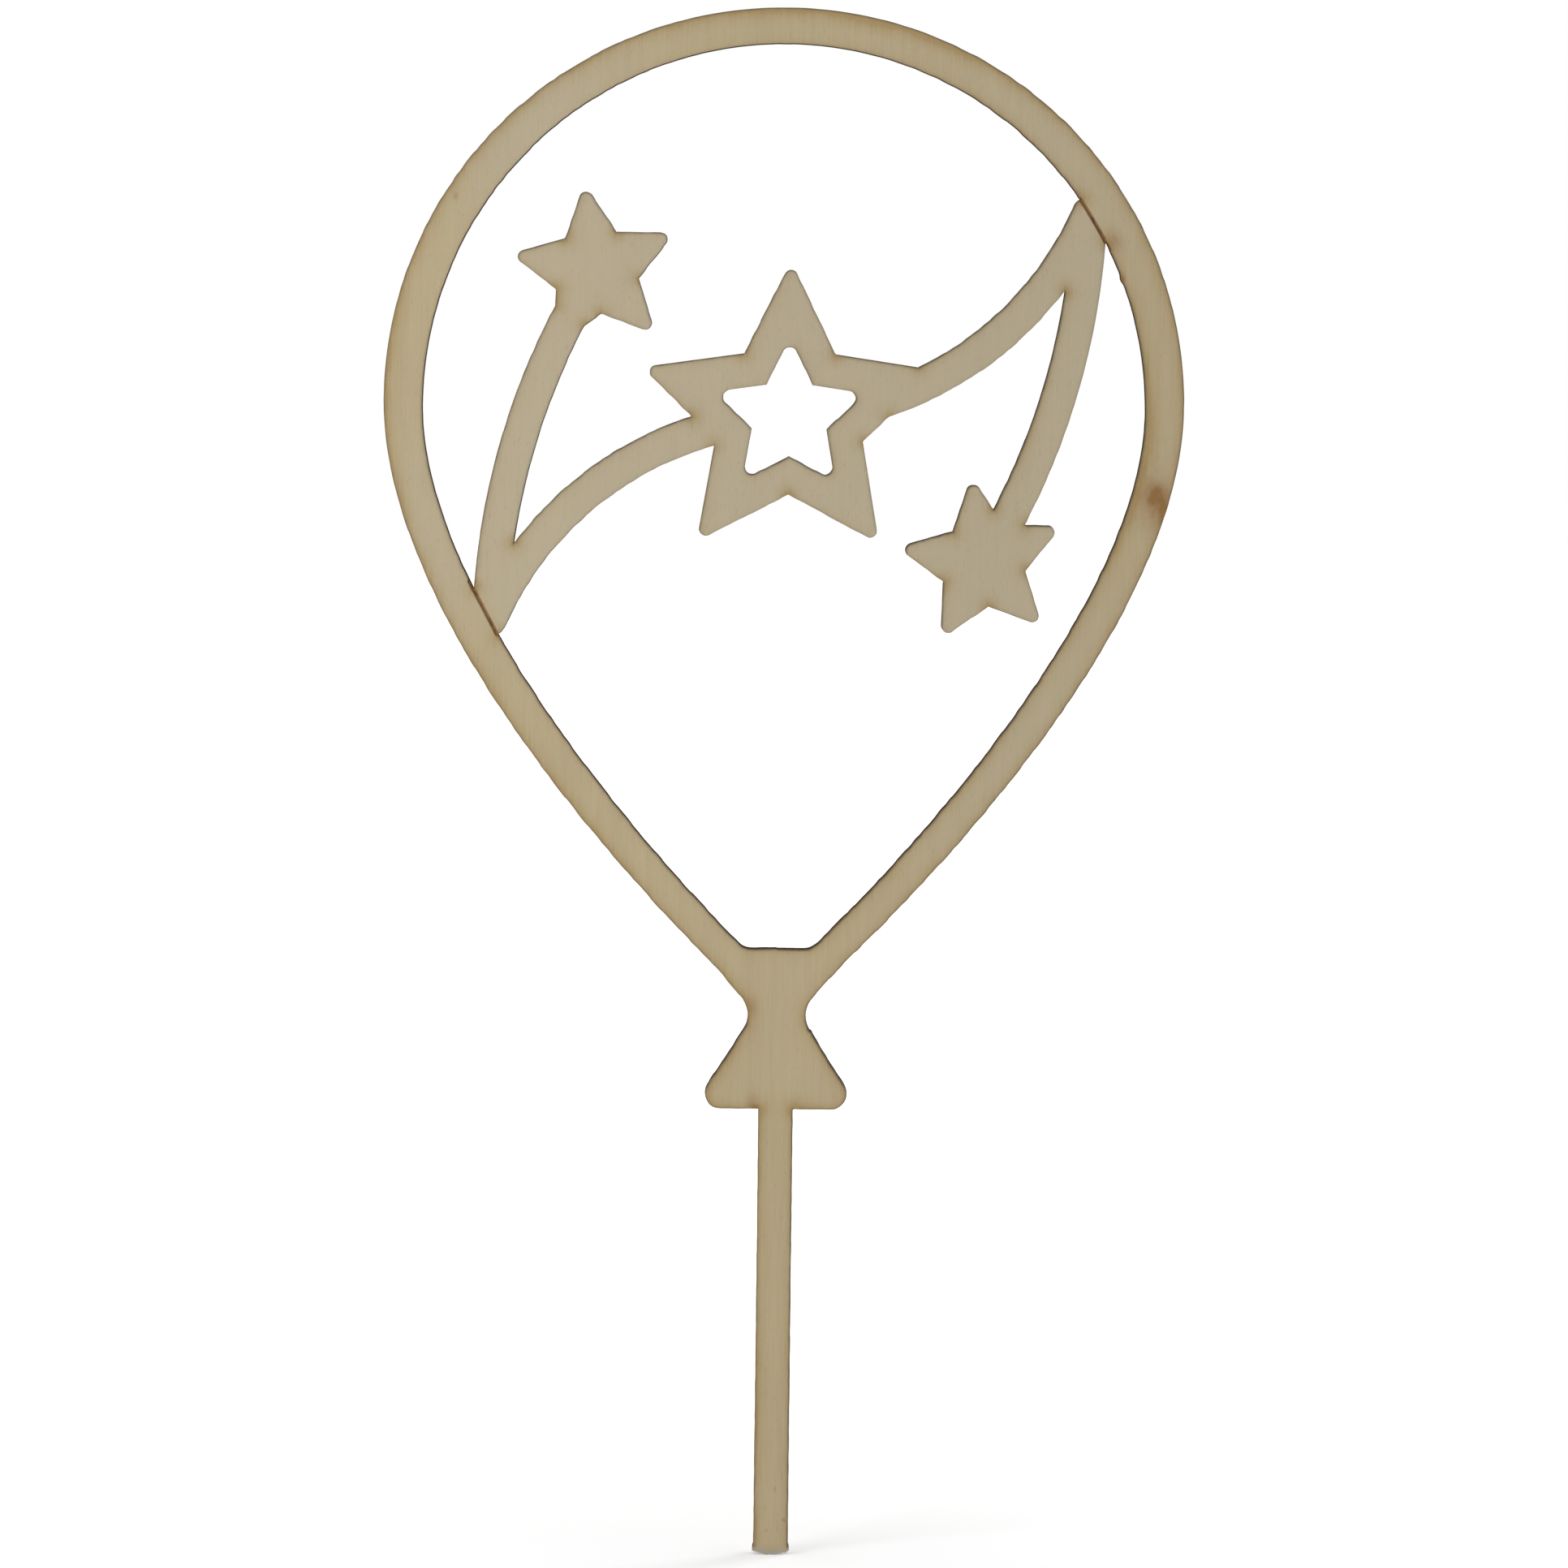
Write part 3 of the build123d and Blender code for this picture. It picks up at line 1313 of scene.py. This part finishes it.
@dataclass
class RidgeTree:
    """Geometry nodes that line the cut edges with the fine ridges a pulsed beam leaves.

    Attributes:
        pitch: distance from ridge to ridge.
        depth: depth of the valleys between them.
        across: how fast a ridge changes through the sheet, as a share of along the edge.
        seed: fixed start of the pattern.
    """

    pitch: float = 0.35
    depth: float = 0.008
    across: float = 0.12
    seed: int = 11

    def __post_init__(self) -> None:
        """Join the nodes: push the edge points in by a noise, then give each side its material."""
        kinds = {"Ridge pitch": "Float", "Ridge depth": "Float", "Seed": "Int"}
        graph = GeometryGraph("laser_ridges", {**kinds, "Face": "Material", "Edge": "Material"})
        given = graph.given
        place = graph.out("GeometryNodeInputPosition")
        scaled = graph.scale(place, graph.math("DIVIDE", 1.0, given["Ridge pitch"]))
        flat = graph.stretch(scaled, (1.0, self.across, 1.0))
        cloud = {"Vector": flat, "W": given["Seed"], "Scale": 1.0, "Detail": 1.0}
        noise = graph.out("ShaderNodeTexNoise", cloud, noise_dimensions="4D")
        valley = graph.math("MULTIPLY", noise, graph.math("MULTIPLY", given["Ridge depth"], -1.0))
        offset = graph.scale(graph.stored("outward", "FLOAT_VECTOR"), valley)
        moved = graph.out("GeometryNodeSetPosition", {"Geometry": given["Geometry"], "Offset": offset})
        real = graph.out("GeometryNodeRealizeInstances", {"Geometry": moved})
        edged = graph.dress(graph.dress(real, "Face"), "Edge", Selection=graph.stored("cut", "BOOLEAN"))
        graph.add("NodeGroupOutput", {"Geometry": edged})
        self.graph = graph

    def apply(self, piece: bpy.types.Object, face: bpy.types.Material, edge: bpy.types.Material) -> None:
        """Line one piece's cut edges and give it its materials.

        Args:
            piece: layer to finish.
            face: material of its flat sides.
            edge: material of its cut edge.
        """
        values = {"Ridge pitch": self.pitch * MM, "Ridge depth": self.depth * MM, "Seed": self.seed}
        self.graph.run(piece, {**values, "Face": face, "Edge": edge})


@dataclass
class Layer:
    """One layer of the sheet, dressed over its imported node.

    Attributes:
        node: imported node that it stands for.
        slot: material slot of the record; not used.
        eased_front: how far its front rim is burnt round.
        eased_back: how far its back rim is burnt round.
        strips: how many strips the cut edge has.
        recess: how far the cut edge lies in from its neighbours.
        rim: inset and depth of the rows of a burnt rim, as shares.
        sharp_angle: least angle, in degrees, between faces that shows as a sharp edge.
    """

    node: str
    slot: str
    eased_front: float = 0.0
    eased_back: float = 0.0
    strips: int = 2
    recess: float = 0.0
    rim: tuple[Place, ...] = ((1.0, 0.0), (0.3, 0.3))
    sharp_angle: float = 28.0

    def edge_rows(self) -> list[Place]:
        """Work out the rows of edge points.

        Returns:
            The depth and the inset of each row, from the front to the back.
        """
        low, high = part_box(self.node)
        front, back = low.y / MM, high.y / MM
        between = np.linspace(front + self.eased_front, back - self.eased_back, self.strips + 1)
        rows = [(float(depth), 0.0) for depth in between]
        for inset, depth in reversed(self.rim if self.eased_front else ()):
            rows.insert(0, (front + self.eased_front * depth, self.eased_front * inset))
        for inset, depth in reversed(self.rim if self.eased_back else ()):
            rows.append((back - self.eased_back * depth, self.eased_back * inset))
        return rows

    def build(self, front: FaceGrid, back: FaceGrid, sheet: "Sheet") -> bpy.types.Object:
        """Make the layer's closed mesh with its attributes.

        Args:
            front: triangles of its front.
            back: triangles of its back.
            sheet: the whole sheet, for its kerf, browning, marks and scored lines.

        Returns:
            The new object.
        """
        rows = self.edge_rows()
        count = front.rim
        outline, outward = front.edges.points, front.edges.outward * ~sheet.torn[:, None]
        vertices = []
        for depth, inset in rows:
            flat = outline - outward * (inset + self.recess + sheet.kerf_lean(depth))
            vertices.append(np.insert(flat, 1, depth, axis=1))
        vertices.append(np.insert(front.points[count:], 1, rows[0][0], axis=1))
        vertices.append(np.insert(back.points[count:], 1, rows[-1][0], axis=1))
        spots = np.concatenate(vertices)
        depths = np.concatenate([np.zeros(count * len(rows)), front.depths, back.depths])
        nearest = np.concatenate([*[np.arange(count)] * len(rows), front.nearest, back.nearest])
        outs = np.zeros((len(spots), 3))
        outs[: count * len(rows), [0, 2]] = np.tile(outward, (len(rows), 1))
        score = sheet.cut_scores(spots)
        faces, cut = self.faces(front, back, len(rows))
        mesh = bpy.data.meshes.new(self.node)
        mesh.from_pydata((spots * MM).tolist(), [], faces)
        ahead = spots[:, 1] < (sheet.front + sheet.back) / 2
        numbers = {
            "edge": depths,
            "scorch": sheet.scorch[nearest],
            "char": sheet.char[nearest],
            "stain": sheet.shown(sheet.marks, spots[:, [0, 2]]) * ahead,
            "pale": sheet.paleness(spots[:, [0, 2]]),
            "score": score,
            "torn": sheet.torn[nearest] * fade(depths, sheet.torn_reach),
        }
        for name, values in numbers.items():
            stored = mesh.attributes.new(name, "FLOAT", "POINT")
            stored.data.foreach_set("value", values.astype(np.float32))
        mesh.attributes.new("outward", "FLOAT_VECTOR", "POINT").data.foreach_set("vector", outs.ravel())
        mesh.attributes.new("cut", "BOOLEAN", "FACE").data.foreach_set("value", cut)
        mesh.polygons.foreach_set("use_smooth", np.ones(len(faces), dtype=bool))
        mesh.set_sharp_from_angle(angle=math.radians(self.sharp_angle))
        mesh.validate()
        return new_piece("dressed_" + self.node, mesh)

    def faces(self, front: FaceGrid, back: FaceGrid, rows: int) -> tuple[list[list[int]], np.ndarray]:
        """Join the front, the cut edge and the back.

        Args:
            front: triangles of the front.
            back: triangles of the back.
            rows: number of rows of edge points.

        Returns:
            The faces, and which of them are cut edge.
        """
        count = front.rim
        first_inner = count * rows
        first_back = first_inner + len(front.points) - count
        ahead = front.triangles
        ahead = np.where(ahead < count, ahead, ahead - count + first_inner)
        behind = back.triangles[:, ::-1]
        behind = np.where(behind < count, behind + count * (rows - 1), behind - count + first_back)
        here, there = np.arange(count), front.edges.following
        strip = np.stack([here, here + count, there + count, there], axis=1)
        walls = np.concatenate([strip + row * count for row in range(rows - 1)])
        faces = ahead.tolist() + walls.tolist() + behind.tolist()
        cut = np.zeros(len(faces), dtype=bool)
        eased = [len(self.rim) * count if width else 0 for width in (self.eased_front, self.eased_back)]
        cut[len(ahead) + eased[0] : len(ahead) + len(walls) - eased[1]] = True
        return faces, cut


@dataclass
class Sheet:
    """The whole plywood sheet: its outline, flaws, browning and marks, and its five layers.

    Attributes:
        kerf: how much wider the cut is at the front than at the back, on each side.
        eased: how far the rims of the faces are burnt round.
        glue_recess: how far the glue lines lie in from the cut.
        waist: height of the pinched waist, above which the ring lies.
        torn_reach: how far the torn end's pale fibres reach into the face.
        flatness: how far the corners of a flat face may lie from its plane.
        nicks: flaws in the cut edges.
        marks: stains and knots in the front.
        fine_mark: half width below which a mark gets points of its own.
        edge_gap: least distance of such points from the edge.
        patches: wide patches where the wood is a little greyer.
        inside_pale: how much greyer the wood inside the ring is, where less smoke reached.
        pale_fade: distance in which that sets in.
    """

    kerf: float = 0.03
    eased: float = 0.05
    glue_recess: float = 0.02
    waist: float = 21.0
    torn_reach: float = 0.45
    flatness: float = 0.001
    nicks: tuple[Nick, ...] = (
        Nick((42.1, 104.4), 0.5, 0.17, NickShape.BURR),
        Nick((4.15, 9.85), 2.4, 0.14, NickShape.STEP, (0.52, -0.854)),
        Nick((-0.1, 20.15), 3.4, 0.08, NickShape.STEP, (-1.0, 0.0)),
    )
    marks: tuple[Mark, ...] = (
        Mark((46.7, 77.35), 1.3, 1.6, 1.0),
        Mark((47.6, 75.2), 0.7, 1.7, 0.65, -12.0),
        Mark((46.2, 74.8), 1.6, 2.4, 0.28, -15.0),
        Mark((45.2, 78.8), 2.4, 3.6, 0.2, -12.0),
        Mark((42.0, 104.4), 0.3, 0.5, 1.2, 20.0),
        Mark((41.0, 109.2), 0.8, 1.3, 0.4, 30.0),
        Mark((-41.2, 113.8), 0.3, 0.5, 0.42),
        Mark((-2.5, 0.15), 0.4, 0.4, 1.0),
        Mark((-3.0, 0.8), 0.7, 1.2, 0.32),
        Mark((2.35, -0.6), 0.3, 0.5, 0.5),
        Mark((-3.4, 12.9), 1.0, 1.3, 0.4),
        Mark((-2.0, -36.5), 0.3, 8.0, 0.12),
        Mark((-1.95, -53.0), 0.28, 2.6, 0.3),
        Mark((0.5, -47.9), 0.15, 0.3, 0.4),
        Mark((1.68, -51.75), 0.22, 0.22, 0.6),
        Mark((1.98, -52.05), 0.14, 0.14, 0.45),
        Mark((-0.55, -53.1), 0.14, 0.16, 0.45),
    )
    fine_mark: float = 0.9
    edge_gap: float = 0.06
    patches: tuple[Mark, ...] = (
        Mark((35.0, 122.0), 15.0, 15.0, 0.3),
        Mark((-33.0, 124.0), 15.0, 12.0, 0.45),
        Mark((-45.0, 70.0), 9.0, 13.0, 0.4),
        Mark((29.0, 46.0), 15.0, 20.0, 0.3),
    )
    inside_pale: float = 0.5
    pale_fade: float = 0.5

    def __post_init__(self) -> None:
        """Read the outline, work the flaws into it and measure the browning."""
        low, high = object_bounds()
        self.front, self.back, self.lowest = low.y / MM, high.y / MM, low.z / MM
        box = np.array([(low.x, low.z), (high.x, high.z)]) / MM
        self.loops = OutlineReader().read()
        TornEnd().shape(self.loops[0])
        wander = EdgeWander()
        for loop in self.loops:
            loop.push(wander.heights(loop) + sum(nick.heights(loop.points) for nick in self.nicks))
            loop.points = loop.points.clip(*box)
        self.scorching = Scorching()
        self.scorch = self.scorching.levels(self.loops, self.waist)
        self.char = self.scorching.chars(self.loops)
        self.scores, self.score_depth = self.read_scores()
        self.edges = EdgeMap(self.loops)
        self.outline = EdgeMap(self.loops[:1])
        self.torn = np.arange(len(self.edges.points)) < self.loops[0].torn_points

    def read_scores(self) -> tuple[list[ScoredLine], float]:
        """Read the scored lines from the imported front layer.

        Returns:
            The lines, and how deep they are cut.
        """
        places, triangles = packed_triangles("front_veneer")
        depths = places[triangles][:, :, 1]
        front, back = depths.min(), depths.max()
        level = np.ptp(depths, axis=1) < self.flatness
        between = (depths[:, 0] > front + self.flatness) & (depths[:, 0] < back - self.flatness)
        floor = places[np.unique(triangles[level & between])]
        sides = [floor[floor[:, 0] > 0], floor[floor[:, 0] < 0]]
        return [ScoredLine(side[:, [0, 2]]) for side in sides], float(floor[:, 1].min() - front)

    def kerf_lean(self, depth: float) -> float:
        """Return how far the cut edge lies in at a depth, because the cut narrows towards the back."""
        return self.kerf * (self.back - depth) / (self.back - self.front)

    @staticmethod
    def shown(marks: tuple[Mark, ...], points: np.ndarray) -> np.ndarray:
        """Return how much of the marks shows at each point of the face."""
        return np.minimum(sum(mark.weights(points) for mark in marks), 1.0)

    def paleness(self, points: np.ndarray) -> np.ndarray:
        """Work out how much greyer the wood is, in the wide patches and inside the ring.

        Args:
            points: places on the face.

        Returns:
            One share for each point.
        """
        inside = (self.outline.depths(points) - self.scorching.band) / self.pale_fade
        inside = np.where(points[:, 1] > self.waist, np.clip(inside, 0, 1), 0.0)
        return np.maximum(self.shown(self.patches, points), self.inside_pale * inside)

    def cut_scores(self, spots: np.ndarray) -> np.ndarray:
        """Sink the points of the front that lie in a scored line.

        Args:
            spots: points of a layer, changed in place.

        Returns:
            The share of the full depth at each point of the front, and zero elsewhere.
        """
        share = np.max([line.depth_shares(spots[:, [0, 2]]) for line in self.scores], axis=0)
        share = np.where(spots[:, 1] < self.front + self.score_depth, share, 0.0)
        floor = np.where(share > 0, self.front + self.score_depth * share, spots[:, 1])
        spots[:, 1] = np.maximum(spots[:, 1], floor)
        return share

    def build(self) -> list[bpy.types.Object]:
        """Make and dress the five layers.

        Returns:
            The new pieces.
        """
        fine = [line.fine_points() for line in self.scores]
        fine += [mark.fine_points() for mark in self.marks if mark.width < self.fine_mark]
        fine = np.concatenate(fine)
        deep = self.edges.depths(fine) > self.edge_gap
        ahead = FaceGrid(self.edges, extra=fine[deep & self.edges.wooden(fine)])
        behind = FaceGrid(self.edges)
        plain = FaceGrid(self.edges, filled=False)
        finishes = (VeneerFinish(), BURNT_GLUE, UPRIGHT_CUT, CROSS_CUT)
        face, glue, upright, cross = [finish.material() for finish in finishes]
        glue_line = {"slot": "glue", "strips": 1, "recess": self.glue_recess}
        plan = [
            (Layer("front_veneer", "face_veneer", eased_front=self.eased), ahead, plain, face, upright),
            (Layer("front_glue_line", **glue_line), plain, plain, glue, glue),
            (Layer("core_veneer", "core_veneer", strips=3), plain, plain, cross, cross),
            (Layer("back_glue_line", **glue_line), plain, plain, glue, glue),
            (Layer("back_veneer", "face_veneer", eased_back=self.eased), plain, behind, face, upright),
        ]
        ridges = RidgeTree()
        pieces = []
        for layer, front, back, face_finish, edge_finish in plan:
            piece = layer.build(front, back, self)
            ridges.apply(piece, face_finish, edge_finish)
            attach(piece, BODY)
            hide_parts(layer.node)
            pieces.append(piece)
        return pieces


@dataclass
class FibreTufts:
    """Loose fibres on the torn end of the stick and on the rough underside of the knot.

    Attributes:
        density: fibres for each square millimetre.
        length: length of the longest fibre.
        thickness: thickness of a fibre at its root.
        sides: sides of a fibre.
        tilt: how far a fibre may lean, in degrees.
        least: smallest shares of its thickness, both ways, and length that a fibre has.
        most: largest shares of them.
        torn_height: how far above its lowest point the torn end has fibres.
        under_height: how far from the knot's underside fibres grow.
        under_span: from where to where they grow there.
        under_step: how many edge points lie between the strips there.
        bed_share: share of the sheet's thickness that has fibres.
        seed: fixed start of the random places.
    """

    density: float = 14.0
    length: float = 0.2
    thickness: float = 0.06
    sides: int = 5
    tilt: float = 28.0
    least: Triple = (0.6, 0.6, 0.25)
    most: Triple = (1.2, 1.2, 1.0)
    torn_height: float = 0.5
    under_height: float = 0.12
    under_span: Place = (2.7, 6.2)
    under_step: int = 3
    bed_share: float = 0.9
    seed: int = 5

    def bed(self, sheet: Sheet) -> bpy.types.Mesh:
        """Lay narrow strips of face where the fibres grow, one for each stretch of edge.

        Args:
            sheet: the sheet whose outline is followed.

        Returns:
            A mesh of strips that face downwards.
        """
        points = sheet.loops[0].points
        points = points[np.argsort(points[:, 0], kind="stable")]
        x, z = points.T
        torn = points[z < sheet.lowest + self.torn_height]
        start, end = self.under_span
        under = points[(np.abs(z) < self.under_height) & (x > start) & (x < end)][:: self.under_step]
        vertices, faces = [], []
        for path in (torn, under):
            for step in range(len(path) - 1):
                corner = len(vertices) + 2 * step
                faces.append((corner, corner + 2, corner + 3, corner + 1))
            for across, up in path * MM:
                depths = (sheet.front * MM * self.bed_share, sheet.back * MM * self.bed_share)
                vertices += [(across, depth, up) for depth in depths]
        mesh = bpy.data.meshes.new("fibre_bed")
        mesh.from_pydata(vertices, [], faces)
        return mesh

    def graph(self) -> GeometryGraph:
        """Join the nodes that scatter, turn, size and merge the fibres.

        Returns:
            The tree.
        """
        kinds = {"Density": "Float", "Length": "Float", "Thickness": "Float", "Sides": "Int"}
        kinds |= {"Tilt": "Float", "Seed": "Int", "Fibre": "Material"}
        graph = GeometryGraph("torn_fibres", kinds)
        given = graph.given
        seed, tilt = given["Seed"], given["Tilt"]
        scatter = {"Mesh": given["Geometry"], "Density": given["Density"], "Seed": seed}
        spots = graph.out("GeometryNodeDistributePointsOnFaces", scatter)
        root = graph.math("MULTIPLY", given["Thickness"], 0.5)
        shape = {"Vertices": given["Sides"], "Radius Top": 0.0, "Radius Bottom": root}
        fibre = graph.out("GeometryNodeMeshCone", {**shape, "Depth": given["Length"]})
        lean = graph.math("MULTIPLY", tilt, -1.0)
        lowest = graph.out("ShaderNodeCombineXYZ", {0: lean, 1: lean, 2: 0.0})
        highest = graph.out("ShaderNodeCombineXYZ", {0: tilt, 1: tilt, 2: math.tau})
        chances = [{0: lowest, 1: highest, "Seed": seed}, {0: self.least, 1: self.most, "Seed": seed}]
        turn, size = [
            graph.out("FunctionNodeRandomValue", chance, data_type="FLOAT_VECTOR") for chance in chances
        ]
        over = {0: turn, 1: (math.pi, 0.0, 0.0)}
        down = graph.out("ShaderNodeVectorMath", over, operation="ADD")
        plant = {"Points": spots, "Instance": fibre, "Rotation": down, "Scale": size}
        planted = graph.out("GeometryNodeInstanceOnPoints", plant)
        real = graph.out("GeometryNodeRealizeInstances", {"Geometry": planted})
        graph.add("NodeGroupOutput", {"Geometry": graph.dress(real, "Fibre")})
        return graph

    def build(self, sheet: Sheet) -> bpy.types.Object:
        """Make the fibres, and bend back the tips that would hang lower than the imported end.

        Args:
            sheet: the sheet that they grow from.

        Returns:
            The new piece.
        """
        piece = new_piece("torn_fibres", self.bed(sheet))
        values = {
            "Density": self.density / MM**2,
            "Length": self.length * MM,
            "Thickness": self.thickness * MM,
            "Sides": self.sides,
            "Tilt": math.radians(self.tilt),
            "Seed": self.seed,
            "Fibre": TORN_FIBRE.material(),
        }
        self.graph().run(piece, values)
        for vertex in piece.data.vertices:
            vertex.co.z = max(vertex.co.z, sheet.lowest * MM)
        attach(piece, BODY)
        return piece


@dataclass
class Studio:
    """Pale floor, soft light and the camera.

    Attributes:
        picture_width: width of what the camera sees at the sheet.
        aim: place on the sheet at the middle of the picture.
        distance: how far the camera stands from the sheet.
        rise: how far the camera stands above the level, in degrees.
        lean: how far the topper leans to the right in the picture, in degrees.
        sensor: width of the camera's sensor.
        floor_width: width of the floor in metres.
        sky_light: strength of the light from all round.
        lamp_power: power of each of the two large lamps, in watts.
        lamp_size: width of each lamp, in metres.
        lamp_places: where the lamps at the front left and the back right stand, in metres.
        floor_grey: how much light the floor gives back.
        floor_lift: how much the floor is whitened under the object and far from it.
        floor_reach: distance, in metres, at which the floor is whitened in full.
    """

    picture_width: float = 196.45
    aim: Place = (0.58, 40.79)
    distance: float = 1000.0
    rise: float = 3.0
    lean: float = 0.68
    sensor: float = 36.0
    floor_width: float = 12.0
    sky_light: float = 0.5
    lamp_power: float = 1.8
    lamp_size: float = 0.3
    lamp_places: tuple[Triple, ...] = ((-0.36, -0.45, 0.1), (0.36, 0.45, 0.1))
    floor_grey: float = 0.9
    floor_lift: Place = (0.3, 0.8)
    floor_reach: float = 0.35

    def __post_init__(self) -> None:
        """Work out the place that the camera and the lamps point at, in metres."""
        self.target = Vector((self.aim[0], 0.0, self.aim[1])) * MM

    def build(self, lowest: float) -> None:
        """Set up the camera, light and floor.

        Args:
            lowest: height of the stick's end.
        """
        bpy.context.scene.view_settings.view_transform = "Standard"
        self.camera()
        self.sky()
        for name, place in zip(("key", "fill"), self.lamp_places):
            self.lamp(name, place)
        self.floor(lowest)

    def camera(self) -> None:
        """Place the camera in front of the sheet and make it the scene's own."""
        data = bpy.data.cameras.new("camera")
        data.sensor_width = self.sensor
        data.lens = self.sensor * self.distance / self.picture_width
        camera = new_piece("camera", data)
        rise = math.radians(self.rise)
        back = Vector((0.0, -math.cos(rise), math.sin(rise)))
        camera.location = self.target + back * self.distance * MM
        camera.rotation_mode = "QUATERNION"
        lean = Quaternion((0.0, 0.0, 1.0), math.radians(self.lean))
        camera.rotation_quaternion = (-back).to_track_quat("-Z", "Y") @ lean
        bpy.context.scene.camera = camera

    def sky(self) -> None:
        """Light the scene evenly from all round, with white behind the object."""
        world = bpy.data.worlds.new("studio")
        world.use_nodes = True
        bpy.context.scene.world = world
        graph = Graph(world.node_tree)
        white = {"Color": (1.0, 1.0, 1.0, 1.0)}
        light, backdrop = [
            graph.out("ShaderNodeBackground", {**white, "Strength": strength})
            for strength in (self.sky_light, 1.0)
        ]
        both = graph.out("ShaderNodeMixShader", {0: seen_rays(graph), 1: light, 2: backdrop})
        graph.add("ShaderNodeOutputWorld", {"Surface": both})

    def lamp(self, name: str, place: Triple) -> None:
        """Hang one large soft lamp.

        Args:
            name: what the lamp is called.
            place: where it hangs, in metres.
        """
        data = bpy.data.lights.new(name, "AREA")
        data.energy = self.lamp_power
        data.size = self.lamp_size
        lamp = new_piece(name, data)
        lamp.location = place
        lamp.rotation_mode = "QUATERNION"
        lamp.rotation_quaternion = (self.target - lamp.location).to_track_quat("-Z", "Y")

    def floor(self, lowest: float) -> None:
        """Lay a white floor under the stick's end that still shows the object's shadow.

        Args:
            lowest: height of the stick's end.
        """
        half = self.floor_width / 2
        corners = [(-half, -half), (half, -half), (half, half), (-half, half)]
        mesh = bpy.data.meshes.new("floor")
        mesh.from_pydata([(x, y, lowest * MM) for x, y in corners], [], [(0, 1, 2, 3)])
        floor = new_piece("floor", mesh)
        material = bpy.data.materials.new("floor_paper")
        material.use_nodes = True
        graph = Graph(material.node_tree)
        paper = graph.out("ShaderNodeBsdfDiffuse", {"Color": (*[self.floor_grey] * 3, 1.0)})
        place = graph.add("ShaderNodeTexCoord").outputs["Object"]
        away = graph.add("ShaderNodeVectorMath", {0: place}, operation="LENGTH").outputs["Value"]
        strength = graph.span(away, (0.0, self.floor_reach), self.floor_lift)
        strength = graph.math("MULTIPLY", seen_rays(graph), strength)
        lift = graph.out("ShaderNodeEmission", {"Strength": strength})
        both = graph.out("ShaderNodeAddShader", {0: paper, 1: lift})
        graph.add("ShaderNodeOutputMaterial", {"Surface": both})
        mesh.materials.append(material)
        floor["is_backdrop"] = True


def seen_rays(graph: Graph) -> Socket:
    """Tell rays that show a surface to the eye from those that carry light.

    Args:
        graph: tree to add to.

    Returns:
        One for rays of the first kind, straight or by reflection, and zero for the others.
    """
    rays = graph.add("ShaderNodeLightPath").outputs
    shown = graph.math("MAXIMUM", rays["Is Camera Ray"], rays["Is Glossy Ray"])
    return graph.math("MAXIMUM", shown, rays["Is Transmission Ray"])


def main() -> None:
    """Build the sheet, its fibres and the studio."""
    logging.basicConfig(level=logging.INFO, format="%(name)s: %(message)s")
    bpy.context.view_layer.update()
    sheet = Sheet()
    pieces = [*sheet.build(), FibreTufts().build(sheet)]
    for piece in pieces:
        LOG.info("%s: %d faces", piece.name, len(piece.data.polygons))
    Studio().build(sheet.lowest)


if __name__ == "__main__":
    main()
